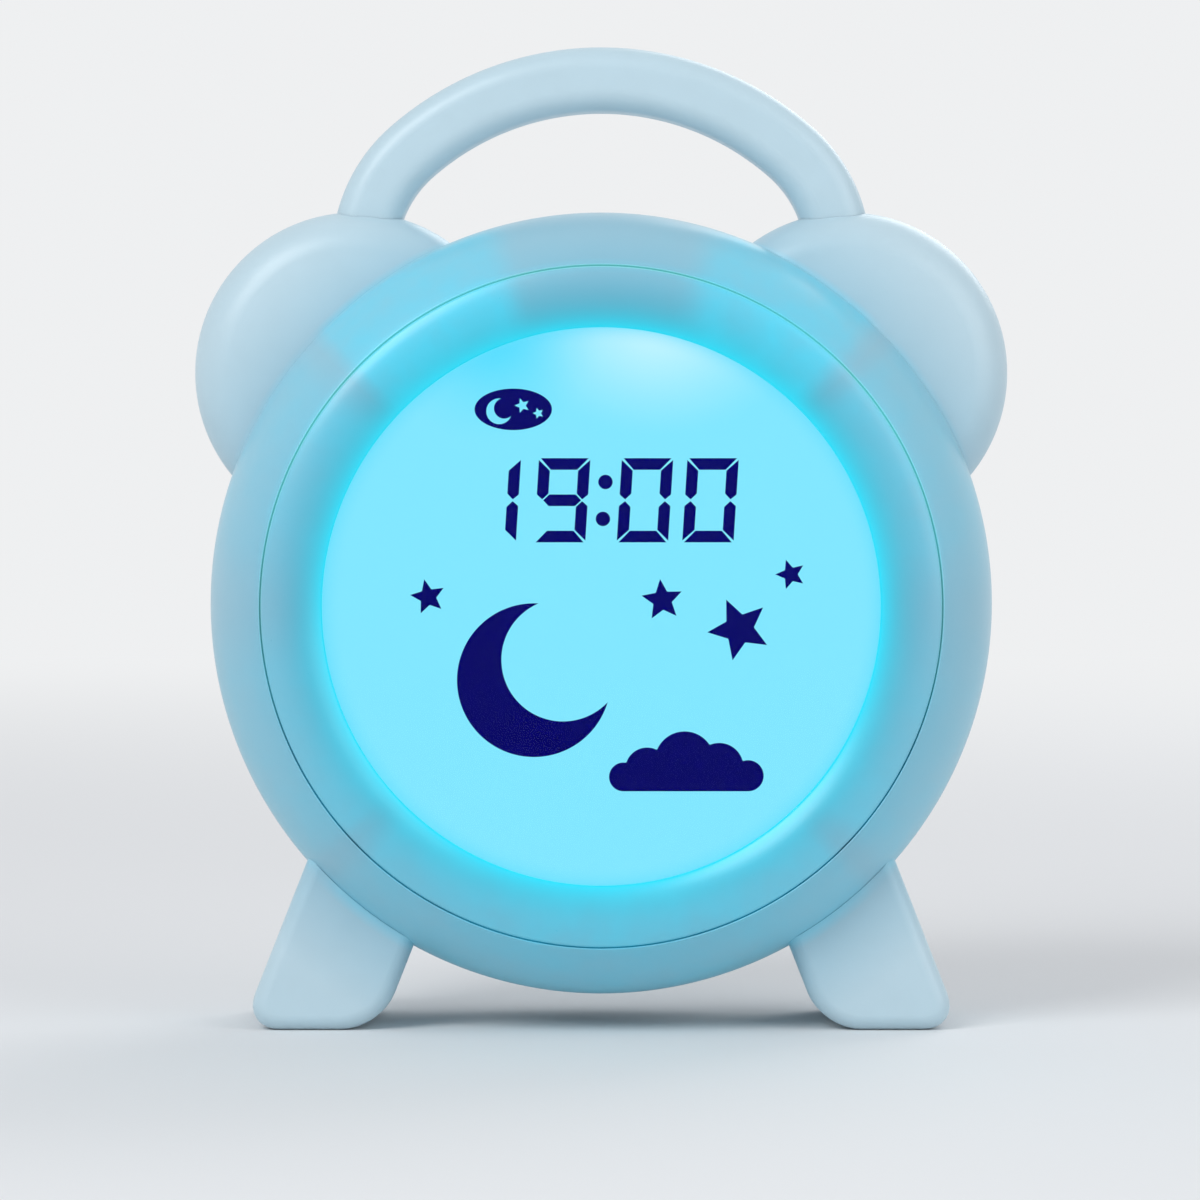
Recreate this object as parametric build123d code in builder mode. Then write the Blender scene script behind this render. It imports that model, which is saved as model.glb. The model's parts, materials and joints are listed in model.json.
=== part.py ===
from build123d import *

import os
from math import cos, hypot, radians, sin, sqrt

# Bedside alarm clock with a round lit display, two round ears, a carrying handle and two splayed feet.
# Millimetres. Z is up, the clock faces -Y, and the origin lies on the table under the middle of the clock.
# Places on the clock are given as across (X) and up from the middle of the dial, and as depth (Y).

# ---- driving sizes -------------------------------------------------------------------------------

# whole clock
CENTRE_Z = 67.0  # middle of the dial above the table
BODY_DEPTH = 49.0  # crest of the bezel to the flat back
KEY_PROUD = 1.0  # how far the keys stand out of the back
FRONT_Y = -(BODY_DEPTH + KEY_PROUD) / 2
BACK_Y = FRONT_Y + BODY_DEPTH
WALL = 2.2  # moulded housing wall

# drum: straight side, rolled front edge and rounded back edge
ROLL_W = 8.6  # bezel seam to the straight side
ROLL_DEPTH = 17.0  # crest of the bezel to where the side runs straight
ROLL_START_Y = FRONT_Y + ROLL_DEPTH
SEAM_DROP = 0.8  # seam below the crest of the bezel
BACK_ROUND = 8.0
LIP_LENGTH = 1.4  # tongue that aligns the two housing halves
LIP_T = 1.0
LIP_GAP = 0.1
ROOT_SHARE = 0.7  # of the drum wall that the ears and feet reach into

# bezel ring and window
BEZEL_GAP = 0.2
DIAL_R = 43.4  # visible radius of the display
BEZEL_IN_W = 5.8  # display edge to crest
BEZEL_OUT_W = 3.9  # crest to seam
BEZEL_DEPTH = 2.6  # crest to seat
BEZEL_LIP_T = 0.8
WINDOW_T = 2.0
WINDOW_LAND = 1.2  # how far the bezel lip covers the window
PART_GAP = 0.3  # plain clearance between neighbours
STEP_T = 0.5  # web under the rim of the window
STEP_IN = 1.0

# liquid-crystal module, front to back
FILM_T = 0.2
GLASS_T = 0.7
GLASS_MARGIN = 1.6  # glass beyond the window
GLASS_TAB_W = 38.0
GLASS_TAB_OUT = 3.8  # contact edge beyond the round of the glass
GLASS_CHORD_IN = 1.2  # straight edge of the rear glass inside its round
GUIDE_T = 3.0
GUIDE_FLAT_IN = 1.0
CARRIER_WALL = 1.4
CARRIER_BASE = 1.5
LED_T = 1.4
LED_W = 3.4
LED_PITCH = 7.0
LED_STRIP_T = 1.0
LED_STRIP_W = 24.0
ZEBRA_T = 1.8
ZEBRA_W = 36.0
BOARD_T = 1.6
BOARD_INSET = 2.2  # main board inside the glass
BOARD_TAB_W = 40.0
POST_LENGTH = 3.4  # display carrier to main board
MODULE_EAR = 1.0  # screw boss clear of the carrier's rim
MODULE_SCREW_ANGLES = (18, 162, 198, 342)
BOARD_EAR = 13.0  # screw ear of the main board
CHIP_SIDE = 10.0
CHIP_T = 1.6
CHIP_RISE = 8.0

# ears
EAR_ACROSS = 38.9
EAR_RISE = 36.4
EAR_R = 25.5
EAR_HALF = 12.0  # half the thickness
EAR_RIM_R = 7.0  # rounding from the rim to the face
EAR_FACE_R = 120.0  # gentle dome of the face

# handle
HANDLE_SPAN = 75.3  # between the middle lines of the two legs
HANDLE_TOP = 82.9  # middle line of the bow at its highest
HANDLE_SPRING = 55.0  # where the legs start to bend
HANDLE_SHOULDER_R = 22.0
HANDLE_T = 10.2  # thickness of the bow seen from the front
HANDLE_HALF = 6.5
HANDLE_ROUND = 3.5
HANDLE_WALL = 2.0
HANDLE_END_RISE = 44.0
HANDLE_SOLID_RISE = 63.0  # below this the handle ends are solid
HANDLE_FIT = 0.15
PEG_R = 1.9
PEG_FIT = 0.05
PEG_LIFT = 4.7  # peg above the end of the leg

# feet
FOOT_SPLAY = 21.5  # degrees from upright
FOOT_WIDTH = 22.0  # level width
FOOT_ROOT_IN = 4.4  # top of the outer edge, inside the drum
FOOT_ROOT_ANGLE = -38.9
FOOT_FRONT_Y = -15.0
FOOT_BACK_Y = 17.0
FOOT_TOE_R = 3.2
FOOT_HEEL_R = 7.2
FOOT_EDGE_R = 2.5

# housing screws
CASE_SCREW_ANGLES = (45, 135, 225, 315)
CASE_JOIN_Y = 4.0  # where front and rear bosses meet
CASE_HEAD_DEPTH = 7.0
CASE_BOSS_R = 3.1
CASE_SINK_R = 2.8

# keys on the back
KEY_RING_R = 38.0
KEY_ANGLES = (20, 42, 64)
KEY_R = 4.3
KEY_FLANGE = 1.0
KEY_STEM_R = 1.3
KEY_STEM_LENGTH = 2.5
KEY_TRAVEL = 0.8
SWITCH_SIDE = 6.0
SWITCH_H = 3.2
SWITCH_WELL_R = 1.7
KEY_BOARD_IN_R = 32.4
KEY_BOARD_OUT_R = 44.2
KEY_BOARD_DROP = 5.4  # inside of the back wall to the board
LEG_ACROSS = 39.2
LEG_W = 10.0
LEG_DROP = 15.0
LEG_LENGTH = 26.0
KEY_BOARD_SCREWS = ((0.0, 41.0), (39.2, 3.0), (-39.2, 3.0))

# switch and socket on the back
SLIDE_DROP = 7.5
SLIDE_TRAVEL = 1.5  # each way
KNOB_W = 2.4
KNOB_H = 3.4
KNOB_PROUD = 0.6
SOCKET_H = 9.2
SOCKET_W = 3.4
SOCKET_WALL = 0.4

# speaker
SPEAKER_RISE = 22.0
SPEAKER_R = 14.0
SPEAKER_RIM_T = 0.8
SPEAKER_DEPTH = 4.0
MAGNET_R = 8.0
MAGNET_DEPTH = 4.0
GRILLE_SLOT_W = 1.6
GRILLE_PITCH = 3.2
GRILLE_SLOTS = 7

# battery bay, three cells lying across
CELL_R = 5.25
CELL_LENGTH = 44.5
CELL_NUB = 1.0
CELL_NUB_R = 1.9
CELL_PITCH = 11.0
CELL_COUNT = 3
CONTACT_ROOM = 3.2
CONTACT_T = 0.4
CONTACT_W = 7.0
CONTACT_SLIT = 1.0  # slit in the bay floor for a contact's tail
BAY_DROP = 22.0
BAY_WALL = 1.5
DOOR_T = 2.0
DOOR_MARGIN = 2.5
DOOR_GAP = 0.25
DOOR_CORNER_R = 3.0
HINGE_R = 1.6
HINGE_PIN_R = 0.8
HINGE_PIN_LENGTH = 1.5
LUG_R = 4.6
LUG_OVERHANG = 0.5
LATCH_HEAD_R = 2.5
LATCH_HEAD_T = 1.0
LATCH_SINK = 1.2  # seat of the screw head below the door's face
LATCH_SHANK_R = 1.2
LATCH_REACH = 2.5  # screw below the inside of the door

# screws
SMALL_HEAD_R = 1.9
SMALL_HEAD_T = 1.2
SMALL_SHANK_R = 0.9
SMALL_BITE = 2.8  # screw in its boss
CASE_HEAD_R = 2.5
CASE_HEAD_T = 1.8
CASE_SHANK_R = 1.2
CASE_BITE = 7.0
SCREW_GAP = 0.1
BOSS_WALL = 1.4

# wiring
LEAD_T = 1.0
LEAD_W = 2.6
RIBBON_W = 10.0
LEAD_BEND = 2.0
SPEAKER_LEAD_REACH = 6.0  # speaker lead forward of the speaker

# ---- depths that follow, front to back -----------------------------------------------------------

SEAM_Y = FRONT_Y + SEAM_DROP
SEAT_Y = FRONT_Y + BEZEL_DEPTH  # bezel seat and front of the window
STEP_Y = SEAT_Y + WINDOW_T  # web that carries the window
SHELF_Y = STEP_Y + STEP_T  # back of the shelf, front of the glass
REAR_GLASS_Y = SHELF_Y + GLASS_T
REAR_FILM_Y = REAR_GLASS_Y + GLASS_T
GUIDE_Y = REAR_FILM_Y + FILM_T
REFLECTOR_Y = GUIDE_Y + GUIDE_T
CARRIER_Y = REFLECTOR_Y + FILM_T
CARRIER_BACK_Y = CARRIER_Y + CARRIER_BASE
BOARD_Y = CARRIER_BACK_Y + POST_LENGTH
BOARD_BACK_Y = BOARD_Y + BOARD_T
INNER_BACK_Y = BACK_Y - WALL
KEY_BOARD_BACK_Y = INNER_BACK_Y - KEY_BOARD_DROP
KEY_BOARD_Y = KEY_BOARD_BACK_Y - BOARD_T
SWITCH_BACK_Y = KEY_BOARD_BACK_Y + SWITCH_H
DOOR_Y = BACK_Y - DOOR_T
CELL_Y = DOOR_Y - DOOR_GAP - CELL_R
BAY_Y = CELL_Y - CELL_R - PART_GAP  # floor of the battery bay
BAY_FRONT_Y = BAY_Y - BAY_WALL

# ---- other sizes that follow ---------------------------------------------------------------------

BEZEL_CREST_R = DIAL_R + BEZEL_IN_W
SEAM_R = BEZEL_CREST_R + BEZEL_OUT_W  # opening that the bezel ring drops into
DRUM_R = SEAM_R + ROLL_W
WINDOW_R = DIAL_R + WINDOW_LAND
GLASS_R = WINDOW_R + GLASS_MARGIN
GLASS_TAB_DROP = GLASS_R + GLASS_TAB_OUT
GLASS_CHORD_DROP = GLASS_R - GLASS_CHORD_IN
GUIDE_FLAT_RISE = GLASS_R - GUIDE_FLAT_IN
BOARD_R = GLASS_R - BOARD_INSET
HANDLE_LEG = HANDLE_SPAN / 2
HANDLE_ARCH = HANDLE_TOP - HANDLE_SPRING
HANDLE_CROWN_R = (HANDLE_LEG**2 + HANDLE_ARCH**2 - 2 * HANDLE_LEG * HANDLE_SHOULDER_R) / (
    2 * (HANDLE_ARCH - HANDLE_SHOULDER_R)
)
ROLL_RUN = ROLL_START_Y - SEAM_Y
ROLL_R = (ROLL_W**2 + ROLL_RUN**2) / (2 * ROLL_W)
WALL_IN_R = DRUM_R - WALL
CORE_R = DRUM_R - ROOT_SHARE * WALL  # inner end of the ears and feet
CARRIER_IN_R = GLASS_R + PART_GAP
CARRIER_R = CARRIER_IN_R + CARRIER_WALL
MODULE_SCREW_R = CARRIER_R + MODULE_EAR + SMALL_SHANK_R + BOSS_WALL
CASE_SCREW_R = CARRIER_R + 2 * PART_GAP + CASE_BOSS_R
HANDLE_FOOT_R = DRUM_R + PART_GAP
PEG_RISE = sqrt(HANDLE_FOOT_R**2 - HANDLE_LEG**2) + PEG_LIFT
PEG_OFF = hypot(HANDLE_LEG - EAR_ACROSS, PEG_RISE - EAR_RISE)  # from the ear's axis
PEG_LENGTH = EAR_HALF - PEG_OFF**2 / (2 * EAR_FACE_R) - WALL / 2  # ends within the ear's face
BAY_W = CELL_LENGTH + 2 * CONTACT_ROOM
BAY_H = (CELL_COUNT - 1) * CELL_PITCH + 2 * CELL_R + 2 * PART_GAP
BAY_TOP = -BAY_DROP + BAY_H / 2
BAY_BOTTOM = -BAY_DROP - BAY_H / 2
DOOR_W = BAY_W + 2 * DOOR_MARGIN
HINGE_UP = BAY_TOP + HINGE_R + DOOR_GAP
HINGE_Y = BACK_Y - HINGE_R
DOOR_BOTTOM = BAY_BOTTOM - DOOR_MARGIN
LATCH_UP = DOOR_BOTTOM - LUG_OVERHANG
KEY_HOLE_R = KEY_R + PART_GAP
SPEAKER_RING_R = SPEAKER_R + PART_GAP
SLOT_H = KNOB_H + 2 * SLIDE_TRAVEL + 2 * PART_GAP
LATCH_SEAT_Y = BACK_Y - LATCH_SINK
LEAF_BACK_Y = CELL_Y + 0.8 * CELL_R  # fold and tip of a battery contact
LEAF_FRONT_Y = CELL_Y - 0.7 * CELL_R


def drum_radius(depth):
    """Outside radius of the drum's rolled front edge at a depth."""
    if depth >= ROLL_START_Y:
        return DRUM_R
    return DRUM_R - ROLL_R + sqrt(ROLL_R**2 - (ROLL_START_Y - depth) ** 2)


def across(depth):
    """Plane square to the clock's axis at a depth, seen from the front, with the dial's middle at 0, 0."""
    return Plane(origin=(0, depth, CENTRE_Z), x_dir=(1, 0, 0), z_dir=(0, -1, 0))


def on_ring(radius, angle):
    """Place on a ring about the dial's middle, counter-clockwise from the right."""
    return (radius * cos(radians(angle)), radius * sin(radians(angle)))


DIAL_AXIS = Axis((0, 0, CENTRE_Z), (0, 1, 0))
DIAL_PROFILE = Plane.XY.offset(CENTRE_Z)  # radius along X, depth along Y

os.makedirs("parts", exist_ok=True)


def save(piece, name):
    piece.part.label = name
    export_step(piece.part, f"parts/{name}.step")


def disc(radius, front, thickness):
    """Plain round sheet about the dial's axis."""
    with BuildPart() as sheet:
        with BuildSketch(across(front)):
            Circle(radius)
        extrude(amount=-thickness)
    return sheet


# ---- housing -------------------------------------------------------------------------------------


def foot_outline():
    """Right foot: a straight splayed leg with a small toe corner and a wide heel corner."""
    lean = sin(radians(FOOT_SPLAY)) / cos(radians(FOOT_SPLAY))
    out_x, out_up = on_ring(DRUM_R - FOOT_ROOT_IN, FOOT_ROOT_ANGLE)
    toe_x = out_x + lean * (out_up + CENTRE_Z)
    with BuildSketch(Plane.XY) as outline:
        with BuildLine():
            FilletPolyline(
                (out_x - FOOT_WIDTH, out_up),
                (toe_x - FOOT_WIDTH, -CENTRE_Z),
                (toe_x, -CENTRE_Z),
                (out_x, out_up),
                radius=[FOOT_HEEL_R, FOOT_TOE_R],
            )
            Line((out_x, out_up), (out_x - FOOT_WIDTH, out_up))
        make_face()
    return outline.sketch


def ear_half(side):
    """Front half of one ear: a thick button with a gently domed face and a round rim, hollow inside."""
    ear_plane = Plane((side * EAR_ACROSS, 0, CENTRE_Z + EAR_RISE))
    rim_x = EAR_R - EAR_RIM_R
    rim_y = EAR_FACE_R - EAR_HALF - sqrt((EAR_FACE_R - EAR_RIM_R) ** 2 - rim_x**2)
    face_turn = EAR_FACE_R / (EAR_FACE_R - EAR_RIM_R)
    face_end = (rim_x * face_turn, EAR_FACE_R - EAR_HALF - (EAR_FACE_R - EAR_HALF - rim_y) * face_turn)
    inner_rim = (EAR_RIM_R - WALL) * cos(radians(45))
    with BuildPart() as ear:
        with BuildSketch(ear_plane):
            with BuildLine():
                Polyline((0, -EAR_HALF), (0, 0), (EAR_R, 0), (EAR_R, rim_y))
                TangentArc((0, -EAR_HALF), face_end, tangent=(1, 0))
                TangentArc((EAR_R, rim_y), face_end, tangent=(0, -1))
            make_face()
        revolve(axis=Axis(ear_plane.origin, (0, 1, 0)))
        with BuildSketch(ear_plane):
            with BuildLine():
                Polyline(
                    (0, -EAR_HALF + WALL),
                    (rim_x, face_end[1] + WALL),
                    (rim_x + inner_rim, rim_y - inner_rim),
                    (EAR_R - WALL, rim_y),
                    (EAR_R - WALL, 0),
                    (0, 0),
                    close=True,
                )
            make_face()
        revolve(axis=Axis(ear_plane.origin, (0, 1, 0)), mode=Mode.SUBTRACT)
    return ear.part


def arch_line(out):
    """Half of the handle's bow, a set distance outside its middle line: leg, shoulder and crown."""
    shoulder_x = HANDLE_LEG - HANDLE_SHOULDER_R
    crown_drop = HANDLE_CROWN_R - HANDLE_ARCH
    reach = hypot(shoulder_x, crown_drop)
    shoulder_r = HANDLE_SHOULDER_R + out
    joint = (
        shoulder_x * (1 + shoulder_r / reach),
        HANDLE_SPRING + shoulder_r * crown_drop / reach,
    )
    spring = (HANDLE_LEG + out, HANDLE_SPRING)
    crown = (0, HANDLE_TOP + out)
    Line((spring[0], HANDLE_END_RISE), spring)
    TangentArc(spring, joint, tangent=(0, 1))
    TangentArc(crown, joint, tangent=(1, 0))
    return crown, (spring[0], HANDLE_END_RISE)


def bow_outline(half_t):
    """Band either side of the handle's middle line: two straight legs joined by a three-arc bow."""
    with BuildSketch(Plane.XY) as outline:
        with BuildLine():
            outer_crown, outer_end = arch_line(half_t)
            inner_crown, inner_end = arch_line(-half_t)
            Line(outer_crown, inner_crown)
            Line(outer_end, inner_end)
        make_face()
        mirror(about=Plane.YZ)
    return outline.sketch


def handle_half(grow):
    """Front half of the handle bow without its hollow, or its clearance when grown."""
    with BuildPart() as bow:
        with BuildSketch(across(0)):
            add(bow_outline(HANDLE_T / 2 + grow))
        extrude(amount=HANDLE_HALF + grow)
        front_edges = bow.faces().sort_by(Axis.Y)[0].edges()
        fillet(front_edges.filter_by(GeomType.LINE, reverse=True), radius=HANDLE_ROUND)
    return bow.part


def peg_places():
    """Middle of the handle's legs, right and left, at the height of the pegs."""
    return [(HANDLE_LEG, PEG_RISE), (-HANDLE_LEG, PEG_RISE)]


def foot_half(side, depth):
    """Half of one foot from the parting plane to a depth before or behind it."""
    toward = -1 if depth > 0 else 1
    with BuildPart() as foot:
        with BuildSketch(across(0)):
            add(foot_outline())
        extrude(amount=-depth)
        end_face = foot.faces().sort_by(Axis.Y)[0 if depth < 0 else -1]
        fillet(end_face.edges(), radius=FOOT_EDGE_R)
        with BuildSketch(across(0)):
            add(foot_outline())
            offset(amount=-WALL)
        extrude(amount=toward * (abs(depth) - WALL), mode=Mode.SUBTRACT)
    return foot.part if side > 0 else foot.part.mirror(Plane.YZ)


def outworks(front):
    """Ear and foot halves outside the drum, with the handle's notches, for the front or rear housing."""
    flip = Plane.XZ
    with BuildPart() as works:
        for side in (1, -1):
            ear = ear_half(side)
            add(ear if front else ear.mirror(flip))
        bow = handle_half(HANDLE_FIT)
        add(bow if front else bow.mirror(flip), mode=Mode.SUBTRACT)
        with BuildSketch(across(0)):
            with Locations(*peg_places()):
                Circle(PEG_R)
        extrude(amount=PEG_LENGTH if front else -PEG_LENGTH)
        for side in (1, -1):
            add(foot_half(side, FOOT_FRONT_Y if front else FOOT_BACK_Y))
        with BuildSketch(across(FRONT_Y)):
            Circle(CORE_R)
        extrude(amount=-BODY_DEPTH, mode=Mode.SUBTRACT)
    return works.part


def front_drum():
    """Front half of the drum: straight side, rolled edge, bezel recess and the shelf behind it."""
    mid_y = (SHELF_Y + ROLL_START_Y) / 2
    with BuildPart() as drum:
        with BuildSketch(DIAL_PROFILE):
            with BuildLine():
                Polyline((WALL_IN_R, LIP_LENGTH), (WALL_IN_R + LIP_T, LIP_LENGTH), (WALL_IN_R + LIP_T, 0))
                Polyline((WALL_IN_R + LIP_T, 0), (DRUM_R, 0), (DRUM_R, ROLL_START_Y))
                TangentArc((DRUM_R, ROLL_START_Y), (SEAM_R, SEAM_Y), tangent=(0, -1))
                Polyline(
                    (SEAM_R, SEAM_Y),
                    (SEAM_R, SEAT_Y),
                    (WINDOW_R + PART_GAP, SEAT_Y),
                    (WINDOW_R + PART_GAP, STEP_Y),
                    (WINDOW_R + PART_GAP - STEP_IN, STEP_Y),
                    (WINDOW_R + PART_GAP - STEP_IN, SHELF_Y),
                    (drum_radius(SHELF_Y) - WALL, SHELF_Y),
                    (drum_radius(mid_y) - WALL, mid_y),
                    (WALL_IN_R, ROLL_START_Y),
                    (WALL_IN_R, LIP_LENGTH),
                )
            make_face()
        revolve(axis=DIAL_AXIS)
    return drum.part


def front_shell():
    """Front housing: drum front with its bosses, ear fronts and foot fronts in one moulding."""
    with BuildPart() as shell:
        add(outworks(front=True))
        add(front_drum())
        with BuildSketch(across(SHELF_Y)):
            with Locations(*[on_ring(CASE_SCREW_R, angle) for angle in CASE_SCREW_ANGLES]):
                Circle(CASE_BOSS_R)
                Circle(CASE_SHANK_R + SCREW_GAP, mode=Mode.SUBTRACT)
        extrude(amount=SHELF_Y - CASE_JOIN_Y)
        with BuildSketch(across(SHELF_Y)):
            with Locations(*[on_ring(MODULE_SCREW_R, angle) for angle in MODULE_SCREW_ANGLES]):
                Circle(SMALL_SHANK_R + BOSS_WALL)
                Circle(SMALL_SHANK_R + SCREW_GAP, mode=Mode.SUBTRACT)
        extrude(amount=SHELF_Y - CARRIER_Y)
    save(shell, "front_shell")


def rear_drum():
    """Rear half of the drum: groove for the tongue, straight side, rounded edge and flat back."""
    edge_r = DRUM_R - BACK_ROUND
    inner_round = BACK_ROUND - WALL
    with BuildPart() as drum:
        with BuildSketch(DIAL_PROFILE):
            with BuildLine():
                Polyline(
                    (WALL_IN_R, BACK_Y - BACK_ROUND),
                    (WALL_IN_R, 0),
                    (DRUM_R, 0),
                    (DRUM_R, BACK_Y - BACK_ROUND),
                )
                RadiusArc((DRUM_R, BACK_Y - BACK_ROUND), (edge_r, BACK_Y), -BACK_ROUND)
                Polyline(
                    (edge_r, BACK_Y),
                    (0, BACK_Y),
                    (0, INNER_BACK_Y),
                    (edge_r, INNER_BACK_Y),
                    (edge_r + inner_round * cos(radians(45)), BACK_Y - BACK_ROUND + inner_round * sin(radians(45))),
                    (WALL_IN_R, BACK_Y - BACK_ROUND),
                )
            make_face()
        revolve(axis=DIAL_AXIS)
    return drum.part


def key_places():
    """The six key centres, left and right of the speaker."""
    right = [on_ring(KEY_RING_R, angle) for angle in KEY_ANGLES]
    return right + [(-x, up) for x, up in right]


def door_outline(grow):
    """Battery door below its hinge line, with the screw lug, or the recess for it when grown."""
    with BuildSketch(Plane.XY) as outline:
        with Locations((0, HINGE_UP)):
            Rectangle(DOOR_W + 2 * grow, HINGE_UP - DOOR_BOTTOM + grow, align=(Align.CENTER, Align.MAX))
        fillet(outline.vertices().group_by(Axis.Y)[0], radius=DOOR_CORNER_R + grow)
        with Locations((0, LATCH_UP)):
            Circle(LUG_R + grow)
    return outline.sketch


def rear_shell():
    """Rear housing: drum back with grille, key holes, battery bay and bosses, ear backs and foot backs."""
    ledge = PART_GAP + BAY_WALL
    case_places = [on_ring(CASE_SCREW_R, angle) for angle in CASE_SCREW_ANGLES]
    with BuildPart() as shell:
        add(outworks(front=False))
        add(rear_drum())

        # ledge round the door opening, battery bay and latch boss
        with BuildSketch(across(DOOR_Y - BAY_WALL)):
            with Locations((0, (HINGE_UP + DOOR_BOTTOM) / 2)):
                Rectangle(
                    DOOR_W + 2 * (HINGE_PIN_LENGTH + BAY_WALL),
                    HINGE_UP - DOOR_BOTTOM + 2 * (HINGE_R + ledge),
                )
            with Locations((0, LATCH_UP)):
                Circle(LUG_R + ledge)
        extrude(amount=-(WALL / 2 + BAY_WALL))
        with BuildSketch(across(BAY_FRONT_Y)):
            with Locations((0, -BAY_DROP)):
                Rectangle(BAY_W + 2 * BAY_WALL, BAY_H + 2 * BAY_WALL)
        extrude(amount=BAY_FRONT_Y - DOOR_Y)
        with BuildSketch(across(DOOR_Y)):
            with Locations((0, LATCH_UP)):
                Circle(LATCH_SHANK_R + PART_GAP + BOSS_WALL)
        extrude(amount=2 * LATCH_REACH)

        # bosses for the housing screws, the key board and the speaker
        with BuildSketch(across(CASE_JOIN_Y)):
            with Locations(*case_places):
                Circle(CASE_SINK_R + BOSS_WALL)
        extrude(amount=CASE_JOIN_Y - INNER_BACK_Y)
        with BuildSketch(across(KEY_BOARD_BACK_Y)):
            with Locations(*KEY_BOARD_SCREWS):
                Circle(SMALL_SHANK_R + BOSS_WALL)
                Circle(SMALL_SHANK_R + SCREW_GAP, mode=Mode.SUBTRACT)
        extrude(amount=-KEY_BOARD_DROP)
        with BuildSketch(across(INNER_BACK_Y)):
            with Locations((0, SPEAKER_RISE)):
                Circle(SPEAKER_RING_R + BAY_WALL / 2)
                Circle(SPEAKER_RING_R, mode=Mode.SUBTRACT)
        extrude(amount=SPEAKER_DEPTH / 2)

        # openings of the battery bay
        with BuildSketch(across(BACK_Y)):
            add(door_outline(DOOR_GAP))
        extrude(amount=DOOR_T, mode=Mode.SUBTRACT)
        with BuildSketch(across(BACK_Y)):
            with Locations((0, -BAY_DROP)):
                Rectangle(BAY_W, BAY_H)
        extrude(amount=BACK_Y - BAY_Y, mode=Mode.SUBTRACT)
        with BuildSketch(Plane.YZ.offset(-DOOR_W / 2 - DOOR_GAP)):
            with Locations((HINGE_Y, CENTRE_Z + HINGE_UP)):
                Circle(HINGE_R + PART_GAP)
                Rectangle(2 * HINGE_R, 2 * (HINGE_R + PART_GAP), align=(Align.MIN, Align.CENTER))
        extrude(amount=DOOR_W + 2 * DOOR_GAP, mode=Mode.SUBTRACT)
        with BuildSketch(Plane.YZ.offset(-DOOR_W / 2 - HINGE_PIN_LENGTH - DOOR_GAP)):
            with Locations((HINGE_Y, CENTRE_Z + HINGE_UP)):
                Circle(HINGE_PIN_R + PEG_FIT)
        extrude(amount=DOOR_W + 2 * (HINGE_PIN_LENGTH + DOOR_GAP), mode=Mode.SUBTRACT)
        with BuildSketch(across(BACK_Y)):
            with Locations((0, LATCH_UP)):
                Circle(LATCH_SHANK_R + PART_GAP + PEG_FIT)
        extrude(amount=DOOR_T + LATCH_REACH + PART_GAP, mode=Mode.SUBTRACT)

        # slits in the bay floor for the tails of the two end contacts
        with BuildSketch(across(BAY_Y)):
            for side in (1, -1):
                with Locations((side * (BAY_W - CONTACT_SLIT) / 2, -BAY_DROP + side * cell_offset(0))):
                    Rectangle(CONTACT_SLIT, CONTACT_W + 2 * PART_GAP)
        extrude(amount=BAY_WALL, mode=Mode.SUBTRACT)

        # key holes, grille, switch slot and socket hole
        with BuildSketch(across(BACK_Y)):
            with Locations(*key_places()):
                Circle(KEY_HOLE_R)
            for row in range(GRILLE_SLOTS):
                up = (row - (GRILLE_SLOTS - 1) / 2) * GRILLE_PITCH
                with Locations((0, SPEAKER_RISE + up)):
                    SlotOverall(2 * sqrt((SPEAKER_R - GRILLE_SLOT_W) ** 2 - up**2), GRILLE_SLOT_W)
            with Locations((LEG_ACROSS, -SLIDE_DROP)):
                Rectangle(KNOB_W + 2 * PART_GAP, SLOT_H)
            with Locations((-LEG_ACROSS, -SLIDE_DROP)):
                SlotOverall(SOCKET_H + 2 * PART_GAP, SOCKET_W + 2 * PART_GAP, rotation=90)
        extrude(amount=WALL, mode=Mode.SUBTRACT)

        # sunk housing screws
        with BuildSketch(across(BACK_Y)):
            with Locations(*case_places):
                Circle(CASE_SINK_R)
        extrude(amount=CASE_HEAD_DEPTH, mode=Mode.SUBTRACT)
        with BuildSketch(across(BACK_Y)):
            with Locations(*case_places):
                Circle(CASE_SHANK_R + SCREW_GAP)
        extrude(amount=BACK_Y - CASE_JOIN_Y, mode=Mode.SUBTRACT)

        # groove for the tongue of the front housing
        with BuildSketch(across(0)):
            Circle(WALL_IN_R + LIP_T + LIP_GAP)
            Circle(WALL_IN_R - LIP_T, mode=Mode.SUBTRACT)
        extrude(amount=-(LIP_LENGTH + LIP_GAP), mode=Mode.SUBTRACT)
    save(shell, "rear_shell")


def handle(name, front):
    """Handle half: a hollow bow whose solid ends drop over the ear pegs and stand on the drum."""
    with BuildPart() as bow:
        add(handle_half(0))
        with BuildSketch(across(0)):
            add(bow_outline(HANDLE_T / 2 - HANDLE_WALL))
            with Locations((0, HANDLE_SOLID_RISE)):
                Rectangle(3 * DRUM_R, DRUM_R, align=(Align.CENTER, Align.MAX), mode=Mode.SUBTRACT)
        extrude(amount=HANDLE_HALF - HANDLE_WALL, mode=Mode.SUBTRACT)
        with BuildSketch(across(0)):
            Circle(HANDLE_FOOT_R)
            with Locations(*peg_places()):
                Circle(PEG_R + PEG_FIT)
        extrude(amount=2 * HANDLE_HALF, mode=Mode.SUBTRACT)
        if not front:
            mirror(about=Plane.XZ, mode=Mode.REPLACE)
    save(bow, name)


# ---- bezel, window and display module --------------------------------------------------------------


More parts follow.
